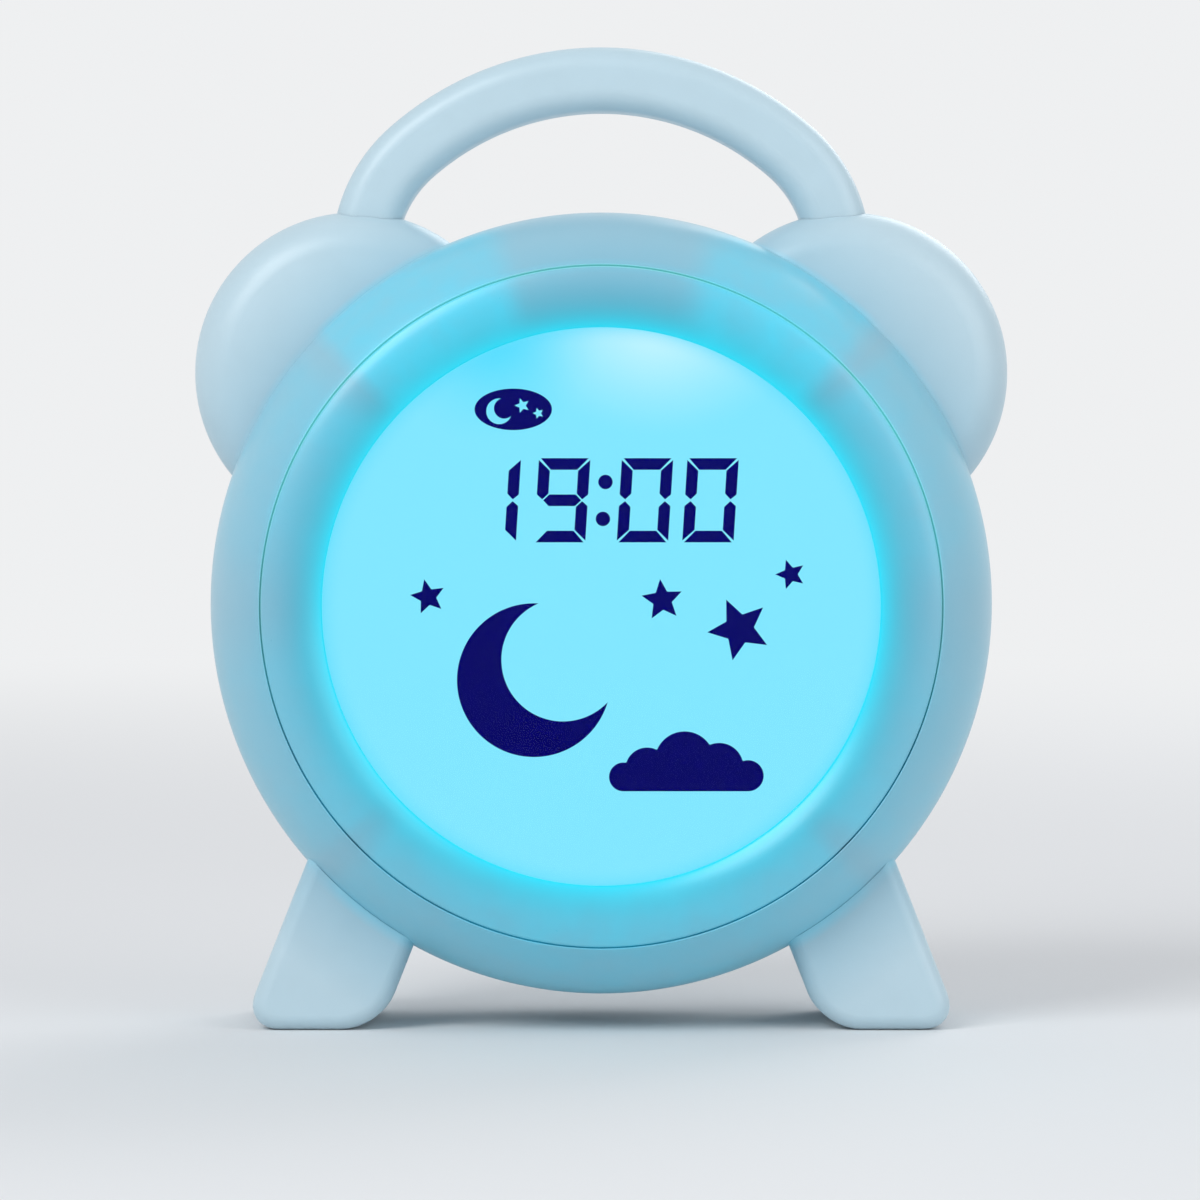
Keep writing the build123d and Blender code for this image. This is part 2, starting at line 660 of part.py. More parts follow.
def bezel_ring():
    """Ring that rolls up from the display to a crest and down to the seam, seated on the shelf."""
    outer_r = SEAM_R - BEZEL_GAP
    lip_y = SEAT_Y - BEZEL_LIP_T
    with BuildPart() as ring:
        with BuildSketch(DIAL_PROFILE):
            with BuildLine():
                TangentArc((BEZEL_CREST_R, FRONT_Y), (outer_r, SEAM_Y), tangent=(1, 0))
                TangentArc((BEZEL_CREST_R, FRONT_Y), (DIAL_R, lip_y), tangent=(-1, 0))
                Polyline((DIAL_R, lip_y), (DIAL_R, SEAT_Y), (outer_r, SEAT_Y), (outer_r, SEAM_Y))
            make_face()
        revolve(axis=DIAL_AXIS)
    save(ring, "bezel_ring")


def lcd_front_glass():
    """Front glass, with the straight contact edge that hangs below the rear glass."""
    with BuildPart() as glass:
        with BuildSketch(across(SHELF_Y)):
            Circle(GLASS_R)
            Rectangle(GLASS_TAB_W, GLASS_TAB_DROP, align=(Align.CENTER, Align.MAX))
        extrude(amount=-GLASS_T)
    save(glass, "lcd_front_glass")


def chord_disc(name, front, thickness, radius, chord, side):
    """Round sheet with one straight edge, above (side 1) or below (side -1) the middle."""
    keep = Align.MAX if side > 0 else Align.MIN
    with BuildPart() as sheet:
        with BuildSketch(across(front)):
            Circle(radius)
            with Locations((0, side * chord)):
                Rectangle(2 * radius, 2 * radius, align=(Align.CENTER, keep), mode=Mode.INTERSECT)
        extrude(amount=-thickness)
    save(sheet, name)


def display_carrier():
    """White tray that holds the glass, films and light guide, with four posts for the main board."""
    with BuildPart() as carrier:
        with BuildSketch(across(SHELF_Y)):
            Circle(CARRIER_R)
        extrude(amount=SHELF_Y - CARRIER_BACK_Y)
        with BuildSketch(across(SHELF_Y)):
            Circle(CARRIER_IN_R)
        extrude(amount=SHELF_Y - CARRIER_Y, mode=Mode.SUBTRACT)
        for angle in MODULE_SCREW_ANGLES:
            with BuildSketch(across(CARRIER_Y)):
                with Locations(Rotation(0, 0, angle)):
                    with Locations((MODULE_SCREW_R, 0)):
                        Circle(SMALL_SHANK_R + BOSS_WALL)
                        Rectangle(
                            MODULE_SCREW_R - CARRIER_IN_R,
                            2 * (SMALL_SHANK_R + BOSS_WALL),
                            align=(Align.MAX, Align.CENTER),
                        )
            extrude(amount=-CARRIER_BASE)
        with BuildSketch(across(CARRIER_BACK_Y)):
            with Locations(*[on_ring(MODULE_SCREW_R, angle) for angle in MODULE_SCREW_ANGLES]):
                Circle(SMALL_SHANK_R + BOSS_WALL)
        extrude(amount=-POST_LENGTH)
        with BuildSketch(across(CARRIER_Y)):
            with Locations(*[on_ring(MODULE_SCREW_R, angle) for angle in MODULE_SCREW_ANGLES]):
                Circle(SMALL_SHANK_R + SCREW_GAP)
        extrude(amount=CARRIER_Y - BOARD_Y, mode=Mode.SUBTRACT)

        # gap in the rim for the light strip, notch for its lead and gap for the contact edge of the glass
        with BuildSketch(across(SHELF_Y)):
            with Locations((0, GUIDE_FLAT_RISE)):
                Rectangle(LED_STRIP_W + 2 * PART_GAP, CARRIER_R, align=(Align.CENTER, Align.MIN))
        extrude(amount=SHELF_Y - CARRIER_Y, mode=Mode.SUBTRACT)
        with BuildSketch(across(SHELF_Y)):
            with Locations((0, GUIDE_FLAT_RISE + LED_T)):
                Rectangle(2 * LEAD_W, CARRIER_R, align=(Align.CENTER, Align.MIN))
        extrude(amount=SHELF_Y - CARRIER_BACK_Y, mode=Mode.SUBTRACT)
        with BuildSketch(across(SHELF_Y)):
            Rectangle(GLASS_TAB_W + 2 * PART_GAP, 2 * CARRIER_R, align=(Align.CENTER, Align.MAX))
            Circle(GLASS_R / 2, mode=Mode.SUBTRACT)
        extrude(amount=-(GLASS_T + PART_GAP), mode=Mode.SUBTRACT)
    save(carrier, "display_carrier")


def light_strip():
    """Narrow board over the light guide with three downward lamps."""
    strip_up = GUIDE_FLAT_RISE + PART_GAP / 2 + LED_T
    with BuildPart() as strip:
        with BuildSketch(across(GUIDE_Y)):
            with Locations((0, strip_up)):
                Rectangle(LED_STRIP_W, LED_STRIP_T, align=(Align.CENTER, Align.MIN))
        extrude(amount=GUIDE_Y - CARRIER_Y)
    save(strip, "led_board")
    for place, name in ((-1, "led_left"), (0, "led_middle"), (1, "led_right")):
        with BuildPart() as led:
            with BuildSketch(across(GUIDE_Y)):
                with Locations((place * LED_PITCH, strip_up)):
                    Rectangle(LED_W, LED_T, align=(Align.CENTER, Align.MAX))
            extrude(amount=-(GUIDE_T - FILM_T))
        save(led, name)


def zebra_connector():
    """Rubber contact strip between the glass edge and the main board."""
    with BuildPart() as strip:
        with BuildSketch(across(REAR_GLASS_Y)):
            with Locations((0, -GLASS_TAB_DROP)):
                Rectangle(ZEBRA_W, ZEBRA_T, align=(Align.CENTER, Align.MIN))
        extrude(amount=REAR_GLASS_Y - BOARD_Y)
    save(strip, "zebra_connector")


def main_board():
    """Main circuit board, with four screw ears and a tab behind the contact edge of the glass."""
    screw_hole = SMALL_SHANK_R + SCREW_GAP
    with BuildPart() as board:
        with BuildSketch(across(BOARD_Y)):
            Circle(BOARD_R)
            Rectangle(BOARD_TAB_W, GLASS_TAB_DROP + PART_GAP, align=(Align.CENTER, Align.MAX))
            for side in (1, -1):
                for up in (1, -1):
                    x, rise = on_ring(MODULE_SCREW_R, MODULE_SCREW_ANGLES[0])
                    with Locations((side * x, up * rise)):
                        Circle(SMALL_HEAD_R + PART_GAP)
                        Rectangle(
                            BOARD_EAR,
                            2 * (SMALL_HEAD_R + PART_GAP),
                            align=(Align.MAX if side > 0 else Align.MIN, Align.CENTER),
                        )
            with Locations(*[on_ring(MODULE_SCREW_R, angle) for angle in MODULE_SCREW_ANGLES]):
                Circle(screw_hole, mode=Mode.SUBTRACT)
        extrude(amount=-BOARD_T)
    save(board, "main_board")
    with BuildPart() as chip:
        with BuildSketch(across(BOARD_BACK_Y)):
            with Locations((0, CHIP_RISE)):
                Rectangle(CHIP_SIDE, CHIP_SIDE)
        extrude(amount=-CHIP_T)
        chamfer(chip.faces().sort_by(Axis.Y)[-1].edges(), length=CHIP_T / 4)
    save(chip, "controller_chip")


# ---- fasteners -------------------------------------------------------------------------------------


def screws(name, places, seat, reach, head, shank_r):
    """Pan-head screws entering from the back: head behind the seat, shank reaching forward."""
    head_r, head_t = head
    with BuildPart() as group:
        with BuildSketch(across(seat)):
            with Locations(*places):
                Circle(head_r)
        extrude(amount=-head_t)
        with BuildSketch(across(seat)):
            with Locations(*places):
                Circle(shank_r)
        extrude(amount=reach)
    save(group, name)


def all_screws():
    small_head = (SMALL_HEAD_R, SMALL_HEAD_T)
    module_places = [on_ring(MODULE_SCREW_R, angle) for angle in MODULE_SCREW_ANGLES]
    module_reach = BOARD_BACK_Y - CARRIER_Y + SMALL_BITE
    screws("module_screws", module_places, BOARD_BACK_Y, module_reach, small_head, SMALL_SHANK_R)
    case_places = [on_ring(CASE_SCREW_R, angle) for angle in CASE_SCREW_ANGLES]
    case_seat = BACK_Y - CASE_HEAD_DEPTH
    case_reach = case_seat - CASE_JOIN_Y + CASE_BITE
    screws("housing_screws", case_places, case_seat, case_reach, (CASE_HEAD_R, CASE_HEAD_T), CASE_SHANK_R)
    with BuildPart() as group:
        with BuildSketch(across(KEY_BOARD_Y)):
            with Locations(*KEY_BOARD_SCREWS):
                Circle(SMALL_HEAD_R)
        extrude(amount=SMALL_HEAD_T)
        with BuildSketch(across(KEY_BOARD_Y)):
            with Locations(*KEY_BOARD_SCREWS):
                Circle(SMALL_SHANK_R)
        extrude(amount=-(BOARD_T + KEY_BOARD_DROP - PART_GAP))
    save(group, "key_board_screws")


# ---- keys, switch, socket and speaker --------------------------------------------------------------


def key_board():
    """Horseshoe board behind the keys, with a leg each side for the slide switch and the socket."""
    with BuildPart() as board:
        with BuildSketch(across(KEY_BOARD_Y)):
            Circle(KEY_BOARD_OUT_R)
            Circle(KEY_BOARD_IN_R, mode=Mode.SUBTRACT)
            Rectangle(3 * DRUM_R, 2 * DRUM_R, align=(Align.CENTER, Align.MAX), mode=Mode.SUBTRACT)
            for side in (1, -1):
                with Locations((side * LEG_ACROSS, -LEG_DROP)):
                    Rectangle(LEG_W, LEG_LENGTH, align=(Align.CENTER, Align.MIN))
            with Locations((0, SPEAKER_RISE)):
                Circle(SPEAKER_RING_R + BAY_WALL, mode=Mode.SUBTRACT)
            with Locations(*KEY_BOARD_SCREWS):
                Circle(SMALL_SHANK_R + SCREW_GAP, mode=Mode.SUBTRACT)
        extrude(amount=-BOARD_T)
    save(board, "key_board")


KEY_NAMES = ("hour", "minute", "alarm", "mode", "light", "volume")


def keys():
    """Six round push keys with their flanges and stems, each over its own switch."""
    flange_back = INNER_BACK_Y - SCREW_GAP
    flange_front = flange_back - KEY_FLANGE
    for name, place in zip(KEY_NAMES, key_places()):
        with BuildPart() as key:
            with BuildSketch(across(BACK_Y + KEY_PROUD)):
                with Locations(place):
                    Circle(KEY_R)
            extrude(amount=BACK_Y + KEY_PROUD - flange_back)
            with BuildSketch(across(flange_back)):
                with Locations(place):
                    Circle(KEY_R + KEY_FLANGE)
            extrude(amount=KEY_FLANGE)
            with BuildSketch(across(flange_front)):
                with Locations(place):
                    Circle(KEY_STEM_R)
            extrude(amount=KEY_STEM_LENGTH)
        save(key, f"key_{name}")
        with BuildPart() as switch:
            with BuildSketch(across(SWITCH_BACK_Y)):
                with Locations(place):
                    Rectangle(SWITCH_SIDE, SWITCH_SIDE)
            extrude(amount=SWITCH_H)
            with BuildSketch(across(SWITCH_BACK_Y)):
                with Locations(place):
                    Circle(SWITCH_WELL_R)
            well_floor = flange_front - KEY_STEM_LENGTH - KEY_TRAVEL - SCREW_GAP
            extrude(amount=SWITCH_BACK_Y - well_floor, mode=Mode.SUBTRACT)
        save(switch, f"key_switch_{name}")


def slide_switch():
    """Slide switch on the right leg of the key board: a body with a slot and the knob in it."""
    body_depth = SWITCH_H + PART_GAP
    slot_floor = KEY_BOARD_BACK_Y + body_depth / 2
    with BuildPart() as body:
        with BuildSketch(across(KEY_BOARD_BACK_Y)):
            with Locations((LEG_ACROSS, -SLIDE_DROP)):
                Rectangle(KNOB_W + 2 * BAY_WALL, SLOT_H + 2 * BAY_WALL)
        extrude(amount=-body_depth)
        with BuildSketch(across(slot_floor)):
            with Locations((LEG_ACROSS, -SLIDE_DROP)):
                Rectangle(KNOB_W + 2 * PART_GAP, SLOT_H)
        extrude(amount=-body_depth, mode=Mode.SUBTRACT)
    save(body, "slide_switch")
    with BuildPart() as knob:
        with BuildSketch(across(slot_floor + SCREW_GAP)):
            with Locations((LEG_ACROSS, -SLIDE_DROP)):
                Rectangle(KNOB_W, KNOB_H)
        extrude(amount=-(BACK_Y + KNOB_PROUD - slot_floor - SCREW_GAP))
        chamfer(knob.faces().sort_by(Axis.Y)[-1].edges(), length=KNOB_PROUD / 2)
    save(knob, "slide_switch_knob")


def power_socket():
    """Supply socket on the left leg of the key board, open to the back."""
    front = KEY_BOARD_BACK_Y
    depth = BACK_Y - PART_GAP - front
    with BuildPart() as socket:
        with BuildSketch(across(front)):
            with Locations((-LEG_ACROSS, -SLIDE_DROP)):
                SlotOverall(SOCKET_H, SOCKET_W, rotation=90)
        extrude(amount=-depth)
        with BuildSketch(across(front + SOCKET_W / 2)):
            with Locations((-LEG_ACROSS, -SLIDE_DROP)):
                SlotOverall(SOCKET_H - 2 * SOCKET_WALL, SOCKET_W - 2 * SOCKET_WALL, rotation=90)
                Rectangle(SOCKET_WALL * 2, SOCKET_H - SOCKET_W, mode=Mode.SUBTRACT)
        extrude(amount=-depth, mode=Mode.SUBTRACT)
    save(socket, "power_socket")


def speaker():
    """Speaker behind the grille: basket with its rim, paper cone and magnet."""
    rim_y = INNER_BACK_Y
    axis = Axis((0, 0, CENTRE_Z + SPEAKER_RISE), (0, 1, 0))
    profile = Plane.XY.offset(CENTRE_Z + SPEAKER_RISE)
    floor_y = rim_y - SPEAKER_DEPTH
    cone_r = SPEAKER_R - BAY_WALL
    with BuildPart() as basket:
        with BuildSketch(profile):
            with BuildLine():
                Polyline(
                    (0, floor_y),
                    (MAGNET_R, floor_y),
                    (SPEAKER_R, floor_y + SPEAKER_DEPTH / 2),
                    (SPEAKER_R, rim_y),
                    (cone_r, rim_y),
                    (cone_r, rim_y - SPEAKER_RIM_T),
                    (0, floor_y + SPEAKER_RIM_T),
                    close=True,
                )
            make_face()
        revolve(axis=axis)
    save(basket, "speaker_basket")
    with BuildPart() as cone:
        with BuildSketch(profile):
            with BuildLine():
                Polyline(
                    (0, floor_y + SPEAKER_RIM_T),
                    (cone_r, rim_y - SPEAKER_RIM_T),
                    (cone_r, rim_y - SPEAKER_RIM_T / 2),
                    (0, floor_y + 2 * SPEAKER_RIM_T),
                    close=True,
                )
            make_face()
        revolve(axis=axis)
    save(cone, "speaker_cone")
    with BuildPart() as magnet:
        with BuildSketch(across(floor_y)):
            with Locations((0, SPEAKER_RISE)):
                Circle(MAGNET_R)
        extrude(amount=MAGNET_DEPTH)
    save(magnet, "speaker_magnet")


# ---- battery bay -----------------------------------------------------------------------------------


def cell_offset(index):
    """Height of a cell's axis above the middle of the bay, from the top cell down."""
    return ((CELL_COUNT - 1) / 2 - index) * CELL_PITCH


def battery_cells():
    """Three cells lying across, each turned the other way round from its neighbour."""
    body = CELL_LENGTH - CELL_NUB
    for index, name in enumerate(("top", "middle", "bottom")):
        way = 1 if index % 2 == 0 else -1
        start = Plane(
            origin=(-way * CELL_LENGTH / 2, CELL_Y, CENTRE_Z - BAY_DROP + cell_offset(index)),
            x_dir=(0, 1, 0),
            z_dir=(way, 0, 0),
        )
        with BuildPart() as cell:
            with BuildSketch(start):
                Circle(CELL_R)
            extrude(amount=body)
            with BuildSketch(start.offset(body)):
                Circle(CELL_NUB_R)
            extrude(amount=CELL_NUB)
        save(cell, f"battery_cell_{name}")


def contact(name, side, first, count, tail):
    """Bent spring leaf on an end wall of the bay that presses on one cell or joins two."""
    wall_x = BAY_W / 2 - CONTACT_T
    tip_x = CELL_LENGTH / 2 + SCREW_GAP
    foot_y = BAY_FRONT_Y - BAY_WALL if tail else BAY_Y + SCREW_GAP
    width = CONTACT_W + (count - 1) * CELL_PITCH
    up = CENTRE_Z - BAY_DROP + (cell_offset(first) + cell_offset(first + count - 1)) / 2
    with BuildPart() as leaf:
        with BuildSketch(Plane.XY.offset(up - width / 2)):
            with BuildLine():
                Polyline(
                    (wall_x + CONTACT_T, foot_y),
                    (wall_x + CONTACT_T, LEAF_BACK_Y + CONTACT_T),
                    (wall_x - CONTACT_T, LEAF_BACK_Y + CONTACT_T),
                    (tip_x, CELL_Y),
                    (wall_x - 2 * CONTACT_T, LEAF_FRONT_Y),
                    (wall_x - CONTACT_T, LEAF_FRONT_Y),
                    (tip_x + CONTACT_T, CELL_Y),
                    (wall_x - CONTACT_T / 2, LEAF_BACK_Y),
                    (wall_x, LEAF_BACK_Y),
                    (wall_x, foot_y),
                    close=True,
                )
            make_face()
        extrude(amount=width)
        if side < 0:
            mirror(about=Plane.YZ, mode=Mode.REPLACE)
    save(leaf, name)


def battery_door():
    """Door that swings on a barrel along its top edge, with a lug for the captive screw."""
    with BuildPart() as door:
        with BuildSketch(across(BACK_Y)):
            add(door_outline(0))
        extrude(amount=DOOR_T)
        with BuildSketch(Plane.YZ.offset(-DOOR_W / 2)):
            with Locations((HINGE_Y, CENTRE_Z + HINGE_UP)):
                Circle(HINGE_R)
        extrude(amount=DOOR_W)
        with BuildSketch(Plane.YZ.offset(-DOOR_W / 2 - HINGE_PIN_LENGTH)):
            with Locations((HINGE_Y, CENTRE_Z + HINGE_UP)):
                Circle(HINGE_PIN_R)
        extrude(amount=DOOR_W + 2 * HINGE_PIN_LENGTH)
        with BuildSketch(across(BACK_Y)):
            with Locations((0, LATCH_UP)):
                Circle(LATCH_HEAD_R + PART_GAP)
        extrude(amount=LATCH_SINK, mode=Mode.SUBTRACT)
        with BuildSketch(across(BACK_Y)):
            with Locations((0, LATCH_UP)):
                Circle(LATCH_SHANK_R + PEG_FIT)
        extrude(amount=DOOR_T, mode=Mode.SUBTRACT)
    save(door, "battery_door")
    with BuildPart() as screw:
        with BuildSketch(across(LATCH_SEAT_Y)):
            with Locations((0, LATCH_UP)):
                Circle(LATCH_HEAD_R)
        extrude(amount=-LATCH_HEAD_T)
        with BuildSketch(across(LATCH_SEAT_Y)):
            with Locations((0, LATCH_UP)):
                Circle(LATCH_SHANK_R)
        extrude(amount=LATCH_SEAT_Y - DOOR_Y + LATCH_REACH)
    save(screw, "battery_door_screw")


# ---- wiring ----------------------------------------------------------------------------------------


def flat_lead(name, plane, route, width):
    """Flat lead bent in one plane, from the middle line of its thickness."""
    with BuildPart() as lead:
        with BuildSketch(plane) as strip:
            with BuildLine():
                FilletPolyline(route, radius=LEAD_BEND)
            trace(line_width=LEAD_T)
        extrude(strip.sketch, amount=width / 2, both=True)
    save(lead, name)


def wiring():
    """Ribbon between the boards, and flat leads to the speaker, the batteries and the light strip."""
    gap_y = (BOARD_BACK_Y + KEY_BOARD_Y) / 2
    ribbon_x = -LEG_ACROSS + LEG_W
    flat_lead(
        "board_ribbon",
        Plane.XY.offset(CENTRE_Z + KEY_RING_R * sin(radians(KEY_ANGLES[0]))),
        [(ribbon_x, BOARD_BACK_Y), (ribbon_x, gap_y), (-LEG_ACROSS, gap_y), (-LEG_ACROSS, KEY_BOARD_Y)],
        RIBBON_W,
    )
    speaker_y = INNER_BACK_Y - SPEAKER_DEPTH
    lead_y = speaker_y - SPEAKER_LEAD_REACH
    speaker_x = (MAGNET_R + SPEAKER_R - SPEAKER_DEPTH / 2) / 2
    land_x = KEY_BOARD_IN_R * cos(radians(KEY_ANGLES[1])) + LEAD_W
    flat_lead(
        "speaker_lead",
        Plane.XY.offset(CENTRE_Z + SPEAKER_RISE),
        [(speaker_x, speaker_y), (speaker_x, lead_y), (land_x, lead_y), (land_x, KEY_BOARD_Y)],
        LEAD_W,
    )
    strip_mid = CENTRE_Z + GUIDE_FLAT_RISE + LED_T + (LED_STRIP_T + PART_GAP) / 2
    land_z = CENTRE_Z + BOARD_R - 2 * LEAD_W
    over_y = BOARD_BACK_Y + LEAD_W
    flat_lead(
        "light_lead",
        Plane.YZ,
        [(CARRIER_Y, strip_mid), (over_y, strip_mid), (over_y, land_z), (BOARD_BACK_Y, land_z)],
        LEAD_W,
    )
    tail_y = BAY_FRONT_Y - BAY_WALL
    lead_turn_y = (tail_y + BOARD_BACK_Y) / 2
    for side, name in ((1, "battery_lead_positive"), (-1, "battery_lead_negative")):
        tail_x = side * (BAY_W / 2 - CONTACT_T / 2)
        land_x = side * (BAY_W / 2 - CONTACT_T / 2 - 2 * LEAD_BEND - LEAD_W)
        flat_lead(
            name,
            Plane.XY.offset(CENTRE_Z - BAY_DROP + side * cell_offset(0)),
            [(tail_x, tail_y), (tail_x, lead_turn_y), (land_x, lead_turn_y), (land_x, BOARD_BACK_Y)],
            LEAD_W,
        )


# ---- the clock -------------------------------------------------------------------------------------

front_shell()
rear_shell()
handle("handle_front", front=True)
handle("handle_rear", front=False)
bezel_ring()
save(disc(WINDOW_R, SEAT_Y, WINDOW_T), "display_window")
save(disc(WINDOW_R - STEP_IN, SHELF_Y - FILM_T, FILM_T), "front_polariser")
lcd_front_glass()
chord_disc("lcd_rear_glass", REAR_GLASS_Y, GLASS_T, GLASS_R, GLASS_CHORD_DROP, -1)
save(disc(GLASS_R, REAR_FILM_Y, FILM_T), "rear_polariser")
chord_disc("light_guide", GUIDE_Y, GUIDE_T, GLASS_R, GUIDE_FLAT_RISE, 1)
save(disc(GLASS_R, REFLECTOR_Y, FILM_T), "reflector_sheet")
display_carrier()
light_strip()
zebra_connector()
main_board()
all_screws()
key_board()
keys()
slide_switch()
power_socket()
speaker()
battery_cells()
contact("battery_contact_positive", 1, 0, 1, tail=True)
contact("battery_contact_right", 1, 1, 2, tail=False)
contact("battery_contact_left", -1, 0, 2, tail=False)
contact("battery_contact_negative", -1, 2, 1, tail=True)
battery_door()
wiring()
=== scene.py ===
# %% [markdown]
# # A bedside clock that is also a night light
# The clock is a round plastic housing with a lit display, two round ears, a carrying handle and two feet.
# Its moulded pieces exist as plain solids with their real sizes, and this lesson dresses them for a render:
# smooth mouldings, rolled edges, a glowing display and plastics that look like plastic.
# Sizes are thought of in millimetres, as on a drawing, and each finished mesh is scaled to metres at the end.

import json
from math import acos, atan2, cos, degrees, hypot, pi, radians, sin, sqrt

import bmesh
import bpy
from mathutils import Matrix, Vector


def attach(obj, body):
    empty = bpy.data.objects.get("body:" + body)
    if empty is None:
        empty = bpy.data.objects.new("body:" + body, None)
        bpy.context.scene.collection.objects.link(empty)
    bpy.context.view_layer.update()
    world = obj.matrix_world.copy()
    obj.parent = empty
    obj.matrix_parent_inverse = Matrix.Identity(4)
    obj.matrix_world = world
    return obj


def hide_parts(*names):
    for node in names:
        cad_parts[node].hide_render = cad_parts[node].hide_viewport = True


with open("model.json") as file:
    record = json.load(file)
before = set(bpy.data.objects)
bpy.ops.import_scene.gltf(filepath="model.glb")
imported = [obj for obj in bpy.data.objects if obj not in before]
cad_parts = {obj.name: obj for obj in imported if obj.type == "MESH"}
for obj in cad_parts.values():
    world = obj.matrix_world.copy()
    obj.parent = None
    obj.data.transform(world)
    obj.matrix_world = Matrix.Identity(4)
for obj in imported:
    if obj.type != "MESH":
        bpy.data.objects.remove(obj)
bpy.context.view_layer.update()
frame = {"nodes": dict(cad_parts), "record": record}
MM = 0.001
DIAL_Z = 67.0

# %% [markdown]
# ## Camera
# A long lens from almost a metre away keeps the round dial round. The camera stands a little above the middle
# of the dial and looks straight at the front, which is where a child in bed would have its eyes.
# It comes first, because every later choice of curve and finish is judged through it.

# %% Camera
CAMERA_AWAY = 884.0
CAMERA_TILT = radians(2.0)
AIM = (-0.2, 0, DIAL_Z + 0.3)
FILM_W = 36
PICTURE_W = 1200
PIXELS_PER_MM = 6.27


def linked(name, data):
    """A new object with this data, in the scene."""
    made = bpy.data.objects.new(name, data)
    bpy.context.scene.collection.objects.link(made)
    return made


camera = linked("camera", bpy.data.cameras.new("camera"))
camera.data.sensor_width = FILM_W
camera.data.lens = FILM_W * (PIXELS_PER_MM * CAMERA_AWAY / PICTURE_W)
backwards = Vector((0, -cos(CAMERA_TILT), sin(CAMERA_TILT)))
camera.location = Vector(AIM) * MM + backwards * CAMERA_AWAY * MM
camera.rotation_euler = (pi / 2 - CAMERA_TILT, 0, 0)
bpy.context.scene.camera = camera
print("lens", round(camera.data.lens, 1), "mm")

# %% [markdown]
# ## Shader maths as Python
# A finish is a small sum: a base colour, plus a tint that fades with distance, times some speckle.
# This class wraps one output socket, so that such a sum is written as an expression and the Math nodes
# appear by themselves. Colours are mixed by Mix nodes, since a Math node would turn them grey.

# %% Wires
def sign(operation, reflected=False):
    """One of Python's signs as a Math node, with the wire on its left or, reflected, on its right."""

    def between(wire, other):
        values = (other, wire) if reflected else (wire, other)
        return wire.finish.maths(operation, *values)

    return between


class Wire:
    """One output of a node that takes part in sums like a number."""

    def __init__(self, finish, socket):
        self.finish = finish
        self.socket = socket

    __add__ = sign("ADD")
    __radd__ = sign("ADD", reflected=True)
    __sub__ = sign("SUBTRACT")
    __rsub__ = sign("SUBTRACT", reflected=True)
    __mul__ = sign("MULTIPLY")
    __rmul__ = sign("MULTIPLY", reflected=True)
    __truediv__ = sign("DIVIDE")
    __rtruediv__ = sign("DIVIDE", reflected=True)
    __pow__ = sign("POWER")
    __rpow__ = sign("POWER", reflected=True)


def distance(across, up):
    """How far a point is from the place where both wires are 0."""
    return (across * across + up * up) ** 0.5


print("wires ready")

# %% [markdown]
# ## Building a finish
# Every node comes from one method: it sets the node's own settings, such as a Math node's operation, and then
# its sockets, by order or by name. The others are short names for the nodes that a plastic needs again and
# again: a ramp, a mix of two colours, a fade between two distances, noise, and a bump that noise drives.

# %% Finishes
class Finish:
    """A material with one Principled shader, built from wires."""

    def __init__(self, name):
        self.begin(bpy.data.materials.new(name), "Principled BSDF")

    def begin(self, owner, shader):
        owner.use_nodes = True
        self.owner = owner
        self.tree = owner.node_tree
        self.shader = self.tree.nodes[shader]

    def set_socket(self, socket, value):
        if isinstance(value, Wire):
            self.tree.links.new(value.socket, socket)
        elif hasattr(value, "__len__") and socket.type == "RGBA" and len(value) == 3:
            socket.default_value = (*value, 1)
        else:
            socket.default_value = value

    def node(self, kind, settings, *values, out=0, **sockets):
        """Any node: its settings first, then its sockets in order or by name."""
        made = self.tree.nodes.new(kind)
        for key, value in settings.items():
            setattr(made, key, value)
        for index, value in enumerate(values):
            self.set_socket(made.inputs[index], value)
        for key, value in sockets.items():
            self.set_socket(made.inputs[key.replace("_", " ")], value)
        return Wire(self, made.outputs[out])

    def maths(self, operation, *values):
        return self.node("ShaderNodeMath", {"operation": operation}, *values)

    def ramp(self, factor, stops):
        """Soft ramp of greys through (place, value) stops."""
        wire = self.node("ShaderNodeValToRGB", {}, factor)
        ramp = wire.socket.node.color_ramp
        ramp.interpolation = "EASE"
        while len(ramp.elements) < len(stops):
            ramp.elements.new(1)
        for element, (place, grey) in zip(ramp.elements, stops):
            element.position = place
            element.color = (grey, grey, grey, 1)
        return wire

    def mix(self, factor, first, second):
        """Colour between two colours."""
        wire = self.node("ShaderNodeMix", {"data_type": "RGBA"}, out=2)
        inputs = wire.socket.node.inputs
        for index, value in ((0, factor), (6, first), (7, second)):
            self.set_socket(inputs[index], value)
        return wire

    def clamp(self, value):
        return self.node("ShaderNodeClamp", {}, value)

    def fade(self, value, gone, full):
        """0 where a wire has one value, 1 where it has another, and even in between."""
        return self.clamp((gone - value) / (gone - full))

    def point(self):
        """Object coordinates in millimetres about the middle of the dial."""
        return self.node(
            "ShaderNodeMapping",
            {"vector_type": "POINT"},
            Vector=self.node("ShaderNodeTexCoord", {}, out=3),
            Location=(0, 0, -DIAL_Z),
            Scale=(1 / MM, 1 / MM, 1 / MM),
        )

    def axes(self, vector):
        split = self.node("ShaderNodeSeparateXYZ", {}, vector).socket.node
        return [Wire(self, output) for output in split.outputs]

    def noise(self, vector, scale, detail=2.0, roughness=0.5):
        return self.node(
            "ShaderNodeTexNoise", {}, Vector=vector, Scale=scale, Detail=detail, Roughness=roughness
        )

    def bump(self, height, strength, distance):
        return self.node(
            "ShaderNodeBump", {}, Strength=strength, Distance=distance * MM, Height=height
        )

    def done(self, **sockets):
        """Sets the shader's sockets and gives the finished material."""
        for key, value in sockets.items():
            self.set_socket(self.shader.inputs[key.replace("_", " ")], value)
        return self.owner


print("finish helpers ready")

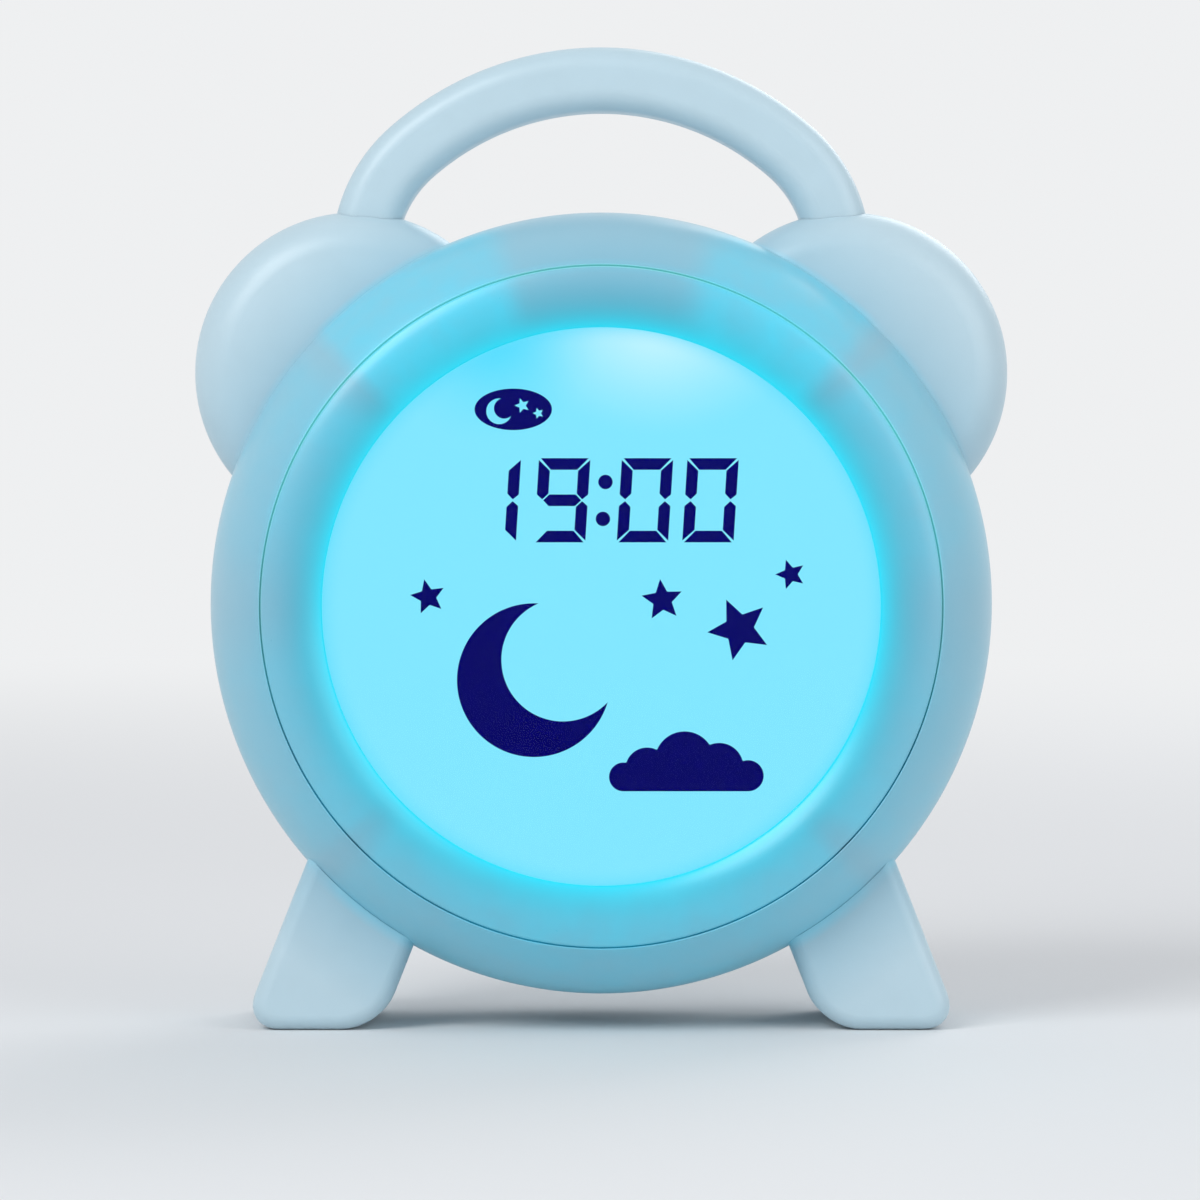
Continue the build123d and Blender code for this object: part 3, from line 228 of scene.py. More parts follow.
# %% [markdown]
# ## White plastic round a lamp
# The housing is white plastic with a slight satin sheen. It isn't fully opaque: the display's light soaks into
# the ring beside it and leaks out in soft sectors between the screw bosses. One finish does this for all the
# mouldings, because the glow only depends on how far a point is from the dial and on its angle.
# The display's light on the ring is painted: a cyan painted glow in the base colour and painted light in the
# emission, so it shows in daylight and in the dark.

# %% Moulded plastics
DISPLAY_EDGE = 43.4
GAP_R = 53.0
LEAK_END_R = 62.5
NO_LIGHT = (0.0, 0.0, 0.0)
SHELL_WHITE = (0.50, 0.66, 0.74)
SHELL_SHADE = tuple(0.94 * channel for channel in SHELL_WHITE)
# Painted light from the display: these colours paint its cyan glow into the base colour near the dial, and its
# light into the emission.
RING_PAINTED_GLOW = (0.06, 0.36, 0.52)
RING_SHARE = 0.9
LEAK_PAINTED_GLOW = (0.07, 0.55, 0.74)
LEAK_LIGHT = (0.0, 0.12, 0.155)
LEAK_SHARE = 0.85
LEAK_ON_DRUM = 0.63
LEAK_ON_RING = 0.95
RIM_PAINTED_GLOW = (0.01, 0.29, 0.41)
RIM_LIGHT = (0.0, 0.47, 0.58)
GAP_LIGHT = (0.06, 0.22, 0.17)
GAP_HALO = 0.10
# Share of a full turn, counted from the right-hand side, and how bright the painted leak is there; its dim
# sectors are painted shadows of the parts inside.
LEAK_SECTORS = (
    (0.000, 0.10), (0.035, 0.34), (0.110, 0.48), (0.121, 0.16), (0.134, 0.92), (0.190, 0.86),
    (0.215, 0.12), (0.250, 0.06), (0.285, 0.12), (0.305, 0.90), (0.360, 1.00), (0.373, 0.95),
    (0.383, 0.20), (0.400, 0.50), (0.455, 0.30), (0.500, 0.06), (0.535, 0.30), (0.610, 0.44),
    (0.620, 0.16), (0.635, 0.46), (0.750, 0.60), (0.865, 0.46), (0.876, 0.16), (0.890, 0.42),
    (0.955, 0.26), (1.000, 0.10),
)


def moulded(name, roughness):
    """Satin moulding with the display's light painted on near the dial and in the seam, as colour and glow, and
    the fine skin of a steel mould.
    """
    finish = Finish(name)
    point = finish.point()
    x, depth, z = finish.axes(point)
    radius = distance(x, z)
    off_gap = finish.maths("ABSOLUTE", radius - GAP_R)
    turn = finish.maths("FRACT", finish.maths("ARCTAN2", z, x) / (2 * pi) + 1)
    cloud = finish.noise(point, scale=0.16)
    skin = finish.noise(point, scale=2.2, detail=4.0, roughness=0.6)

    front = finish.fade(depth, gone=2, full=-14)
    upper = finish.fade(z, gone=-22.5, full=27.5) * front
    within = finish.fade(radius, gone=LEAK_END_R, full=LEAK_END_R - 1.5) * front
    ring = finish.fade(radius, gone=GAP_R + 0.4, full=GAP_R + 0.4 - 1 / 3)
    around = finish.fade(radius, gone=74, full=DISPLAY_EDGE) * front
    rim = finish.fade(radius, gone=56, full=DISPLAY_EDGE) * front
    # The seam's painted glowing line and halo cover only the upper half.
    gap = finish.fade(off_gap, gone=0.3, full=0.2) * upper
    halo = finish.fade(off_gap, gone=1.2, full=1.2 - 2 / 3) * upper

    # Painted light: the leak's bright sectors with painted shadows between them, and the display's cyan glow on
    # ring and rim, go into both base colour and emission.
    sector = finish.ramp(turn, LEAK_SECTORS) * (cloud * 0.9 + 0.55)
    leak = ring * (LEAK_ON_RING - LEAK_ON_DRUM) + LEAK_ON_DRUM
    lit = finish.clamp(sector * leak * within + halo * GAP_HALO)
    plain = finish.mix(cloud, SHELL_WHITE, SHELL_SHADE)
    painted_glow_base = finish.mix(lit * LEAK_SHARE, finish.mix(around * RING_SHARE, plain, RING_PAINTED_GLOW), LEAK_PAINTED_GLOW)
    light = finish.mix(gap, finish.mix(lit, NO_LIGHT, LEAK_LIGHT), GAP_LIGHT)
    return finish.done(
        Base_Color=finish.mix(rim**2.4, painted_glow_base, RIM_PAINTED_GLOW),
        Emission_Color=finish.mix(rim**5, light, RIM_LIGHT),
        Emission_Strength=1.0,
        Roughness=skin * 0.12 + roughness,
        Normal=finish.bump(skin, strength=0.12, distance=0.05),
        Coat_Weight=0.10,
        Coat_Roughness=0.2,
    )


housing_white = moulded("housing_white", roughness=0.34)
bezel_white = moulded("bezel_white", roughness=0.24)
print("mouldings:", housing_white.name, bezel_white.name)

# %% [markdown]
# ## The lit display
# Behind the window the liquid-crystal glass shows one even cyan, because the light guide spreads the three
# lamps over the whole disc. Close under the lamps the guide is still uneven, which leaves a paler hot spot at
# the top and a deeper patch beside it. The film has no colour of its own, so the finish is almost black and
# has all its colour as light.

# %% Display finishes
DISPLAY_CYAN = (0.213, 0.772, 0.975)
HOT_CYAN = (0.56, 0.90, 0.975)
DIM_CYAN = (0.085, 0.71, 0.97)
EDGE_CYAN = (0.12, 0.72, 0.97)
FILM_BLACK = (0.01, 0.03, 0.04)
INK_NAVY = (0.001, 0.001, 0.13)
INK_SHADE = (0.001, 0.001, 0.10)
INK_LIGHT = (0.0, 0.0, 0.02)
HOT_PLACE = (9.0, 44.0)
HOT_REACH = (21.0, 16.0)
DIM_PLACE = (-17.0, 42.0)


def lit_film():
    finish = Finish("lit_film")
    point = finish.point()
    x, _, z = finish.axes(point)
    off_hot = distance((x - HOT_PLACE[0]) / HOT_REACH[0], (z - HOT_PLACE[1]) / HOT_REACH[1])
    hot = finish.fade(off_hot, gone=1.1, full=0.1)
    dim = finish.fade(distance(x - DIM_PLACE[0], z - DIM_PLACE[1]), gone=17.25, full=2.25)
    edge = finish.fade(distance(x, z), gone=40.6, full=DISPLAY_EDGE)
    grain = finish.noise(point, scale=5.0)
    light = finish.mix(dim**1.5, finish.mix(hot**1.4, DISPLAY_CYAN, HOT_CYAN), DIM_CYAN)
    return finish.done(
        Base_Color=FILM_BLACK,
        Emission_Color=finish.mix(edge**2 * 0.6 + (grain - 0.5) * 0.05, light, EDGE_CYAN),
        Emission_Strength=1.0,
        Specular_IOR_Level=0.0,
        Roughness=grain * 0.1 + 0.35,
    )


def clear_window():
    finish = Finish("clear_window")
    haze = finish.noise(finish.point(), scale=0.2, detail=3.0)
    return finish.done(
        Base_Color=(1.0, 1.0, 1.0), Transmission_Weight=1.0, IOR=1.12, Roughness=haze * 0.02
    )


def segment_ink():
    finish = Finish("segment_ink")
    grain = finish.noise(finish.point(), scale=3.0)
    return finish.done(
        Base_Color=finish.mix(grain, INK_NAVY, INK_SHADE),
        Emission_Color=INK_LIGHT,
        Emission_Strength=1.0,
        Specular_IOR_Level=0.0,
        Roughness=grain * 0.1 + 0.4,
    )


display_light = lit_film()
window_clear = clear_window()
display_ink = segment_ink()
print("display finishes ready")

# %% [markdown]
# ## Finishes inside the clock
# The pieces behind the shell are seen only when the battery door is open or through the grille, but each is
# given what it is made of: solder mask with a fine weave, tinned steel, pressed paper, ferrite, cell jackets.
# One function per kind of stuff keeps the differences in a line each.

# %% Inner finishes
def speckled(name, base, shade, scale, roughness, spread=0.1, metallic=0.0, bump=0.1):
    """Plain stuff with two close colours, a little roughness noise and a fine skin."""
    finish = Finish(name)
    grain = finish.noise(finish.point(), scale, detail=3.0, roughness=0.6)
    return finish.done(
        Base_Color=finish.mix(grain, base, shade),
        Metallic=metallic,
        Roughness=grain * spread + roughness,
        Normal=finish.bump(grain, bump, distance=0.04),
    )


def brushed(name, base, shade, roughness):
    """Steel drawn or pressed in one direction, with long fine streaks."""
    finish = Finish(name)
    streaks = finish.node(
        "ShaderNodeMapping", {"vector_type": "POINT"}, Vector=finish.point(), Scale=(0.15, 1.0, 4.0)
    )
    grain = finish.noise(streaks, scale=3.0, detail=4.0, roughness=0.7)
    return finish.done(
        Base_Color=finish.mix(grain, base, shade),
        Metallic=1.0,
        Roughness=grain * 0.2 + roughness,
        Normal=finish.bump(grain, strength=0.08, distance=0.02),
    )


def woven_board():
    """Green solder mask over glass cloth, whose threads cross in two sine waves."""
    finish = Finish("solder_mask")
    x, _, z = finish.axes(finish.point())
    weave = finish.maths("SINE", x * 9) * finish.maths("SINE", z * 9)
    return finish.done(
        Base_Color=finish.mix(weave * 0.5 + 0.5, (0.012, 0.12, 0.045), (0.02, 0.16, 0.06)),
        Roughness=weave * 0.05 + 0.32,
    )


def striped_rubber():
    """Thin layers of rubber, every second one carrying current."""
    finish = Finish("striped_rubber")
    stripe = finish.maths("PINGPONG", finish.axes(finish.point())[0] * 4, 1.0)
    return finish.done(
        Base_Color=finish.mix(stripe, (0.05, 0.05, 0.06), (0.45, 0.46, 0.5)),
        Roughness=stripe * 0.1 + 0.6,
    )


def guide_light():
    """Clear plastic that carries the lamps' light."""
    finish = Finish("lit_guide")
    grain = finish.noise(finish.point(), scale=2.0)
    return finish.done(
        Base_Color=(0.7, 0.9, 0.95),
        Emission_Color=finish.mix(grain, DISPLAY_CYAN, (0.2, 0.75, 0.95)),
        Emission_Strength=0.8,
        Roughness=grain * 0.1 + 0.1,
    )


print("kinds of inner finish ready")

# %% Finish of each slot
# Name, colour, second colour, specks to the millimetre and roughness; steel has no specks.
finishes = {
    "housing": housing_white,
    "bezel": bezel_white,
    "window": window_clear,
    "light_guide": guide_light(),
    "circuit_board": woven_board(),
    "zebra": striped_rubber(),
    "polariser": speckled("grey_film", (0.35, 0.42, 0.44), (0.32, 0.39, 0.41), 2.0, 0.3),
    "lcd_glass": speckled("display_glass", (0.62, 0.80, 0.82), (0.58, 0.77, 0.80), 0.5, 0.08, spread=0.02),
    "reflector": speckled("reflector_film", (0.90, 0.90, 0.90), (0.86, 0.86, 0.87), 1.5, 0.45),
    "carrier": speckled("carrier_white", (0.82, 0.82, 0.80), (0.78, 0.78, 0.76), 1.2, 0.5),
    "lamp": speckled("lamp_package", (0.90, 0.88, 0.62), (0.86, 0.84, 0.55), 3.0, 0.25),
    "chip": speckled("chip_epoxy", (0.012, 0.012, 0.013), (0.02, 0.02, 0.02), 4.0, 0.5),
    "switch_body": speckled("switch_black", (0.02, 0.02, 0.022), (0.03, 0.03, 0.032), 3.0, 0.45),
    "speaker_paper": speckled(
        "cone_paper", (0.018, 0.018, 0.018), (0.035, 0.034, 0.032), 1.6, 0.85, bump=0.5
    ),
    "magnet": speckled("ferrite", (0.06, 0.06, 0.062), (0.09, 0.09, 0.092), 1.0, 0.6, 0.15, metallic=0.3),
    "cell": speckled("cell_jacket", (0.03, 0.09, 0.24), (0.035, 0.10, 0.27), 0.6, 0.28),
    "lead_grey": speckled("lead_grey", (0.36, 0.37, 0.39), (0.32, 0.33, 0.35), 1.4, 0.5),
    "lead_black": speckled("lead_black", (0.015, 0.015, 0.015), (0.025, 0.025, 0.025), 1.4, 0.5),
    "lead_red": speckled("lead_red", (0.40, 0.012, 0.012), (0.34, 0.01, 0.01), 1.4, 0.5),
    "keys": speckled("key_rubber", (0.56, 0.66, 0.70), (0.52, 0.62, 0.66), 1.2, 0.55, bump=0.2),
    "screws": brushed("zinc_screws", (0.62, 0.62, 0.63), (0.52, 0.52, 0.54), 0.25),
    "socket": brushed("socket_tin", (0.70, 0.71, 0.72), (0.60, 0.61, 0.62), 0.2),
    "speaker_metal": brushed("basket_steel", (0.42, 0.42, 0.43), (0.34, 0.34, 0.35), 0.35),
    "contacts": brushed("nickel_leaf", (0.66, 0.63, 0.58), (0.56, 0.54, 0.50), 0.2),
}

slots = {row["node"]: row["material_slot"] for row in frame["record"]["subparts"]}
for name, solid in frame["nodes"].items():
    solid.data.materials.clear()
    solid.data.materials.append(finishes[slots[name]])
frame["nodes"]["front_polariser"].data.materials[0] = display_light
print(len(slots), "solids finished from", len(finishes), "slots")

# %% [markdown]
# ## Drawing and rounding a mesh
# Round mouldings are spun: an outline is drawn in the plane of radius (X) and depth (Y), and turned about the
# clock's own axis. The outline's arcs are spun too, from a single vertex. Bevels then round what a real mould
# rounds, on edges that are found by how sharply they turn and by where they lie.

# %% Drawing helpers
SHARP = radians(30)
TOUCH = 1e-4
NEAR = 1e-3
EDGE_ROUND = 0.3


def near(value, goal):
    return abs(value - goal) < NEAR


def verts_in(parts):
    """The vertices among what an operator gives back."""
    return [part for part in parts if isinstance(part, bmesh.types.BMVert)]


def outwards(mesh):
    bmesh.ops.recalc_face_normals(mesh, faces=mesh.faces)


def arc(mesh, vertex, centre, angle, steps):
    """Carries an outline on along an arc about a centre, by degrees, and gives its last vertex."""
    spun = bmesh.ops.spin(
        mesh, geom=[vertex], cent=(*centre, 0), axis=(0, 0, 1), angle=radians(angle), steps=steps
    )
    return verts_in(spun["geom_last"])[0]


def straight(mesh, vertex, *points):
    """Carries an outline on through points, and gives its last vertex."""
    for point in points:
        following = mesh.verts.new((*point, 0))
        mesh.edges.new((vertex, following))
        vertex = following
    return vertex


def turn_about(mesh, steps, centre=(0, 0)):
    """Turns the drawn outline about an axis along the clock's depth."""
    middle = (centre[0], 0, centre[1])
    bmesh.ops.remove_doubles(mesh, verts=mesh.verts, dist=TOUCH)
    bmesh.ops.translate(mesh, verts=mesh.verts, vec=middle)
    outline = mesh.verts[:] + mesh.edges[:]
    bmesh.ops.spin(mesh, geom=outline, cent=middle, axis=(0, 1, 0), angle=2 * pi, steps=steps, use_merge=True)
    bmesh.ops.remove_doubles(mesh, verts=mesh.verts, dist=TOUCH)
    bmesh.ops.dissolve_degenerate(mesh, dist=TOUCH, edges=mesh.edges)
    outwards(mesh)


def hard_edges(mesh, where=lambda place: True):
    """Edges at which the surface turns sharply, with both ends where they should be."""
    return [
        edge
        for edge in mesh.edges
        if edge.is_manifold and edge.calc_face_angle(0) > SHARP and all(where(v.co) for v in edge.verts)
    ]


def rounded(mesh, parts, width, segments, affect="EDGES"):
    """Rounds edges, as a moulded or cut edge is, or the corners of a flat outline."""
    bmesh.ops.bevel(
        mesh, geom=parts, offset=width, offset_type="OFFSET", segments=segments, profile=0.5,
        affect=affect, clamp_overlap=True, material=-1,
    )


def pushed(mesh, faces, way):
    """Makes a body of flat faces: copies of them are pushed a way, with walls between."""
    made = bmesh.ops.extrude_face_region(mesh, geom=faces, use_keep_orig=True)["geom"]
    bmesh.ops.translate(mesh, verts=verts_in(made), vec=way)
    outwards(mesh)


print("drawing helpers ready")

# %% [markdown]
# ## Simple bodies
# Bosses, bores and blocks need no outline: Blender has an operator for a cone, whose two equal radii make it a
# bar, and one for a cube. They serve as pieces to join on and as tools to cut with.

# %% Bars and blocks
def bar(middle, axis, radius, length, segments):
    """A round bar about its middle, laid down by a quarter turn about an axis."""
    mesh = bmesh.new()
    bmesh.ops.create_cone(
        mesh,
        cap_ends=True,
        segments=segments,
        radius1=radius,
        radius2=radius,
        depth=length,
        matrix=Matrix.Translation(middle) @ Matrix.Rotation(pi / 2, 4, axis),
    )
    return mesh


def post(centre, radius, front, back, segments=64):
    """A round bar along the clock's depth, used as a boss, a bore or a well."""
    return bar((centre[0], (front + back) / 2, centre[1]), "X", radius, back - front, segments)


def rod(centre, radius, reach, segments=40, across=0.0):
    """A round bar along the clock's width, at a depth and a height."""
    return bar((across, *centre), "Y", radius, 2 * reach, segments)


def block(low, high):
    """A box between two corners."""
    mesh = bmesh.new()
    bmesh.ops.create_cube(mesh, size=1)
    bmesh.ops.scale(mesh, verts=mesh.verts, vec=[b - a for a, b in zip(low, high)])
    bmesh.ops.translate(mesh, verts=mesh.verts, vec=[(a + b) / 2 for a, b in zip(low, high)])
    return mesh


print("simple bodies ready")

# %% [markdown]
# ## Joining, cutting and handing over
# Forms are melted together and openings are cut with exact Booleans. Such a cut can leave two corners a few
# thousandths of a millimetre apart, so each result is welded. A finished mesh is then lifted to the dial's
# height, scaled to metres, given its finish, and handed to the body it moves with.

# %% Joining, cutting and handing over
WELD = 0.003
CRISP = radians(35)


def stored(name, mesh):
    """Turns a drawn mesh into mesh data, and lets go of the drawing."""
    data = bpy.data.meshes.new(name)
    mesh.to_mesh(data)
    mesh.free()
    return data


def gathered(parts):
    """Puts several meshes that don't touch into one."""
    whole = bmesh.new()
    for part in parts:
        data = stored("part", part)
        whole.from_mesh(data)
        bpy.data.meshes.remove(data)
    return whole


def welded(mesh):
    """Joins what a cut left a hair apart, closes slits, and takes away crumbs that hang on nothing."""
    bmesh.ops.remove_doubles(mesh, verts=mesh.verts, dist=WELD)
    flakes = [face for face in mesh.faces if all(edge.is_boundary for edge in face.edges)]
    bmesh.ops.delete(mesh, geom=flakes, context="FACES")
    bmesh.ops.holes_fill(mesh, edges=[edge for edge in mesh.edges if edge.is_boundary], sides=3)
    bmesh.ops.dissolve_degenerate(mesh, dist=WELD, edges=mesh.edges)
    bmesh.ops.delete(mesh, geom=[edge for edge in mesh.edges if edge.is_wire], context="EDGES")
    bmesh.ops.delete(mesh, geom=[v for v in mesh.verts if not v.link_faces], context="VERTS")
    return mesh


def combined(operation, target, tools):
    """Joins tools to a mesh (UNION) or cuts them from it (DIFFERENCE), and gives the new mesh."""
    main, *helpers = [linked("form", stored("form", mesh)) for mesh in (target, *tools)]
    for helper in helpers:
        step = main.modifiers.new(helper.name, "BOOLEAN")
        step.operation = operation
        step.solver = "EXACT"
        step.object = helper
    shaped = main.evaluated_get(bpy.context.evaluated_depsgraph_get())
    result = bmesh.new()
    result.from_mesh(shaped.to_mesh())
    shaped.to_mesh_clear()
    for used in [main, *helpers]:
        data = used.data
        bpy.data.objects.remove(used)
        bpy.data.meshes.remove(data)
    return welded(result)


def placed(name, mesh, body, slot, *replaced, finish=None):
    """Turns a mesh drawn in millimetres about the dial into a finished piece on its body."""
    bmesh.ops.translate(mesh, verts=mesh.verts, vec=(0, 0, DIAL_Z))
    bmesh.ops.scale(mesh, verts=mesh.verts, vec=(MM, MM, MM))
    data = stored(name, mesh)
    data.shade_smooth()
    data.set_sharp_from_angle(angle=CRISP)
    data.materials.append(finish or finishes[slot])
    made = linked(name, data)
    made.modifiers.new("even_shading", "WEIGHTED_NORMAL").keep_sharp = True
    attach(made, body)
    if replaced:
        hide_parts(*replaced)
    print(f"{name}: {len(data.polygons)} faces")


print("joining, cutting and handing over ready")

# %% [markdown]
# ## Bezel ring
# The ring round the display is one smooth roll: up from the display's edge to a crest, and down to the seam
# where it drops into the housing. Two arcs meet at the crest with the same direction, so the reflection runs
# over it without a kink. Its two lips are softened, because a sharp moulded lip would catch no light.

# %% Bezel ring
FRONT_Y = -25.0
SEAM_R = 53.1
SEAM_Y = -24.2
SEAM_PLAY = 0.2
SEAT_Y = -22.4
LIP_Y = SEAT_Y - 0.8
LIP_ROUND = 0.22
CREST_R = 49.2
FULL_TURN = 256


def crest_arc(run, drop):
    """Radius and angle of the arc that leaves a crest level and has dropped a way after a run."""
    radius = (run * run + drop * drop) / (2 * drop)
    return radius, degrees(atan2(run, radius - drop))


def bezel_ring():
    mesh = bmesh.new()
    outer_r = SEAM_R - SEAM_PLAY
    outer_arc, outer_angle = crest_arc(outer_r - CREST_R, SEAM_Y - FRONT_Y)
    inner_arc, inner_angle = crest_arc(CREST_R - DISPLAY_EDGE, LIP_Y - FRONT_Y)
    crest = mesh.verts.new((CREST_R, FRONT_Y, 0))
    outer = arc(mesh, crest, (CREST_R, FRONT_Y + outer_arc), outer_angle, 10)
    inner = arc(mesh, crest, (CREST_R, FRONT_Y + inner_arc), -inner_angle, 14)
    foot = straight(mesh, outer, (outer_r, SEAT_Y), (DISPLAY_EDGE, SEAT_Y))
    mesh.edges.new((foot, inner))
    turn_about(mesh, FULL_TURN)
    rounded(mesh, hard_edges(mesh), LIP_ROUND, 2)
    placed("bezel_roll", mesh, "housing", "bezel", "bezel_ring")


bezel_ring()

# %% [markdown]
# ## Forms of the housing
# One moulding carries the drum's rolled front, the front halves of both ears and of both feet. Each form is
# made as its own solid by the operation that suits it: the drum and the ears are spun, the feet are pushed out
# of a rounded outline. Exact unions then melt them into one skin, which leaves the crisp creases that a steel
# mould leaves where an ear runs under the drum's roll.

# %% Ears, feet and drum
SIDES = (1, -1)
DRUM_R = 61.7
ROLL_START_Y = -8.0
WALL = 2.2
PARTING = 0.18
WINDOW_R = 44.9
WINDOW_BACK_Y = SEAT_Y + 2.0
OPENING_R = 43.9
OPENING_BACK_Y = SEAT_Y + 2.5
EAR_MIDDLE = (38.9, 36.4)
EAR_R = 25.5
EAR_RIM_R = 7.0
EAR_HALF = 12.0
EAR_FACE_R = 120.0
FOOT_POINTS = ((22.59, -36.0), (34.81, -67.0), (56.81, -67.0), (44.59, -36.0))
FOOT_CORNER = 6.2
FOOT_ROUND = 2.5


def ear_button(side, way):
    """Front (way -1) or rear half of an ear: a domed face that rolls over a round rim to the parting line."""
    mesh = bmesh.new()
    rim_x = EAR_R - EAR_RIM_R
    rim_y = EAR_FACE_R - EAR_HALF - sqrt((EAR_FACE_R - EAR_RIM_R) ** 2 - rim_x**2)
    face_angle = degrees(atan2(rim_x, EAR_FACE_R - EAR_HALF - rim_y))
    pole = mesh.verts.new((0, -EAR_HALF, 0))
    shoulder = arc(mesh, pole, (0, EAR_FACE_R - EAR_HALF), face_angle, 8)
    girth = arc(mesh, shoulder, (rim_x, rim_y), 90 - face_angle, 16)
    straight(mesh, girth, (EAR_R, -PARTING), (EAR_R - PARTING, 0), (0, 0))
    bmesh.ops.scale(mesh, verts=mesh.verts, vec=(1, -way, 1))
    turn_about(mesh, 128, (side * EAR_MIDDLE[0], EAR_MIDDLE[1]))
    return mesh


def foot_block(side, depth):
    """Half of a foot: the splayed outline with rounded corners, pushed to its depth and rounded there."""
    mesh = bmesh.new()
    corners = [mesh.verts.new((side * x, 0, up)) for x, up in FOOT_POINTS]
    mesh.faces.new(corners)
    for corner in corners[1:3]:
        rounded(mesh, [corner], FOOT_CORNER, 8, "VERTICES")
    pushed(mesh, mesh.faces[:], (0, depth, 0))
    rounded(mesh, hard_edges(mesh, lambda place: near(place.y, depth)), FOOT_ROUND, 6)
    rounded(mesh, hard_edges(mesh, lambda place: near(place.y, 0)), PARTING, 1)
    return mesh


def drum_front():
    """The rolled front wall, with the seat of the bezel ring and the window, and its inside."""
    mesh = bmesh.new()
    roll_r, roll_angle = crest_arc(ROLL_START_Y - SEAM_Y, DRUM_R - SEAM_R)
    start = mesh.verts.new((DRUM_R - PARTING, 0, 0))
    side = straight(mesh, start, (DRUM_R, -PARTING), (DRUM_R, ROLL_START_Y))
    seam = arc(mesh, side, (DRUM_R - roll_r, ROLL_START_Y), -roll_angle, 24)
    seat = straight(
        mesh,
        seam,
        (SEAM_R, SEAT_Y),
        (WINDOW_R, SEAT_Y),
        (WINDOW_R, WINDOW_BACK_Y),
        (OPENING_R, WINDOW_BACK_Y),
        (OPENING_R, OPENING_BACK_Y),
    )
    inside = straight(
        mesh,
        seat,
        (55.4, OPENING_BACK_Y),
        (58.5, -14.0),
        (DRUM_R - WALL, ROLL_START_Y),
        (DRUM_R - WALL, 0),
    )
    mesh.edges.new((inside, start))
    turn_about(mesh, FULL_TURN)
    lip = hard_edges(mesh, lambda place: near(hypot(place.x, place.z), SEAM_R) and near(place.y, SEAM_Y))
    rounded(mesh, lip, EDGE_ROUND, 3)
    return mesh


print("forms of the housing ready")

# %% [markdown]
# ## Handle
# The carrying handle is a bow of three arcs on two straight legs, split into a front and a rear moulding.
# Its section is a half of a rounded bar. Instead of a curve with a bevel, the section itself is carried along:
# pushed up the leg, spun about the shoulder's centre, spun about the crown's centre and mirrored.
# The same sweep, a little larger, cuts the notches that the handle drops into in the ears.

# %% Handle
HANDLE_LEG = 37.65
HANDLE_TOP = 82.9
HANDLE_SPRING = 55.0
SHOULDER_R = 22.0
HANDLE_T = 10.2
HANDLE_HALF = 6.5
HANDLE_ROUND = 3.5
HANDLE_END = 53.5


def bow(way, grow=0.0, end=HANDLE_END):
    """Front (way -1) or rear half of the handle, as one swept section."""
    arch = HANDLE_TOP - HANDLE_SPRING
    crown_r = (HANDLE_LEG**2 + arch**2 - 2 * HANDLE_LEG * SHOULDER_R) / (2 * (arch - SHOULDER_R))
    shoulder_turn = acos((HANDLE_LEG - SHOULDER_R) / (crown_r - SHOULDER_R))
    half, depth = HANDLE_T / 2 + grow, way * (HANDLE_HALF + grow)
    inner, outer = HANDLE_LEG - half, HANDLE_LEG + half
    mesh = bmesh.new()
    section = ((inner, 0), (inner, depth), (outer, depth), (outer, 0))
    corners = [mesh.verts.new((x, y, end)) for x, y in section]
    mesh.faces.new(corners)
    for corner in corners[1:3]:
        rounded(mesh, [corner], HANDLE_ROUND, 8, "VERTICES")
    if not grow:
        for corner in (corners[0], corners[3]):
            rounded(mesh, [corner], PARTING, 1, "VERTICES")
    bmesh.ops.delete(mesh, geom=mesh.faces[:], context="FACES_ONLY")
    raised = bmesh.ops.extrude_edge_only(mesh, edges=mesh.edges[:])["geom"]
    tops = verts_in(raised)
    bmesh.ops.translate(mesh, verts=tops, vec=(0, 0, HANDLE_SPRING - end))
    ring = tops + [
        part
        for part in raised
        if isinstance(part, bmesh.types.BMEdge) and all(near(v.co.z, HANDLE_SPRING) for v in part.verts)
    ]
    for centre, angle, steps in (
        ((HANDLE_LEG - SHOULDER_R, 0, HANDLE_SPRING), shoulder_turn, 20),
        ((0, 0, HANDLE_TOP - crown_r), pi / 2 - shoulder_turn, 28),
    ):
        spun = bmesh.ops.spin(mesh, geom=ring, cent=centre, axis=(0, -1, 0), angle=angle, steps=steps)
        ring = spun["geom_last"]
    bmesh.ops.remove_doubles(mesh, verts=mesh.verts, dist=TOUCH)
    everything = mesh.verts[:] + mesh.edges[:] + mesh.faces[:]
    bmesh.ops.mirror(mesh, geom=everything, axis="X", merge_dist=NEAR)
    bmesh.ops.holes_fill(mesh, edges=[edge for edge in mesh.edges if edge.is_boundary])
    outwards(mesh)
    return mesh


placed("carry_handle_front", bow(-1), "housing", "housing", "handle_front")
placed("carry_handle_rear", bow(1), "housing", "housing", "handle_rear")

# %% [markdown]
# ## Front housing in one skin
# The ears lose the handle's notch first, while they are still simple solids. Then ears and feet lose what
# would stand inside the drum, and everything joins the drum.

# %% Front housing
# Radius, front and back of what ears and feet lose inside the drum.
CORE = (60.5, -25.0, 25.0)
FOOT_FRONT = -15.0
NOTCH_PLAY = 0.15
NOTCH_END = 40.0


def notch():
    """The handle's full section, a little larger, for the slots in the ears."""
    mesh = bow(-1, grow=NOTCH_PLAY, end=NOTCH_END)
    everything = mesh.verts[:] + mesh.edges[:] + mesh.faces[:]
    bmesh.ops.mirror(mesh, geom=everything, axis="Y", merge_dist=NEAR)
    inside = [face for face in mesh.faces if all(near(v.co.y, 0) for v in face.verts)]
    bmesh.ops.delete(mesh, geom=inside, context="FACES")
    outwards(mesh)
    return mesh


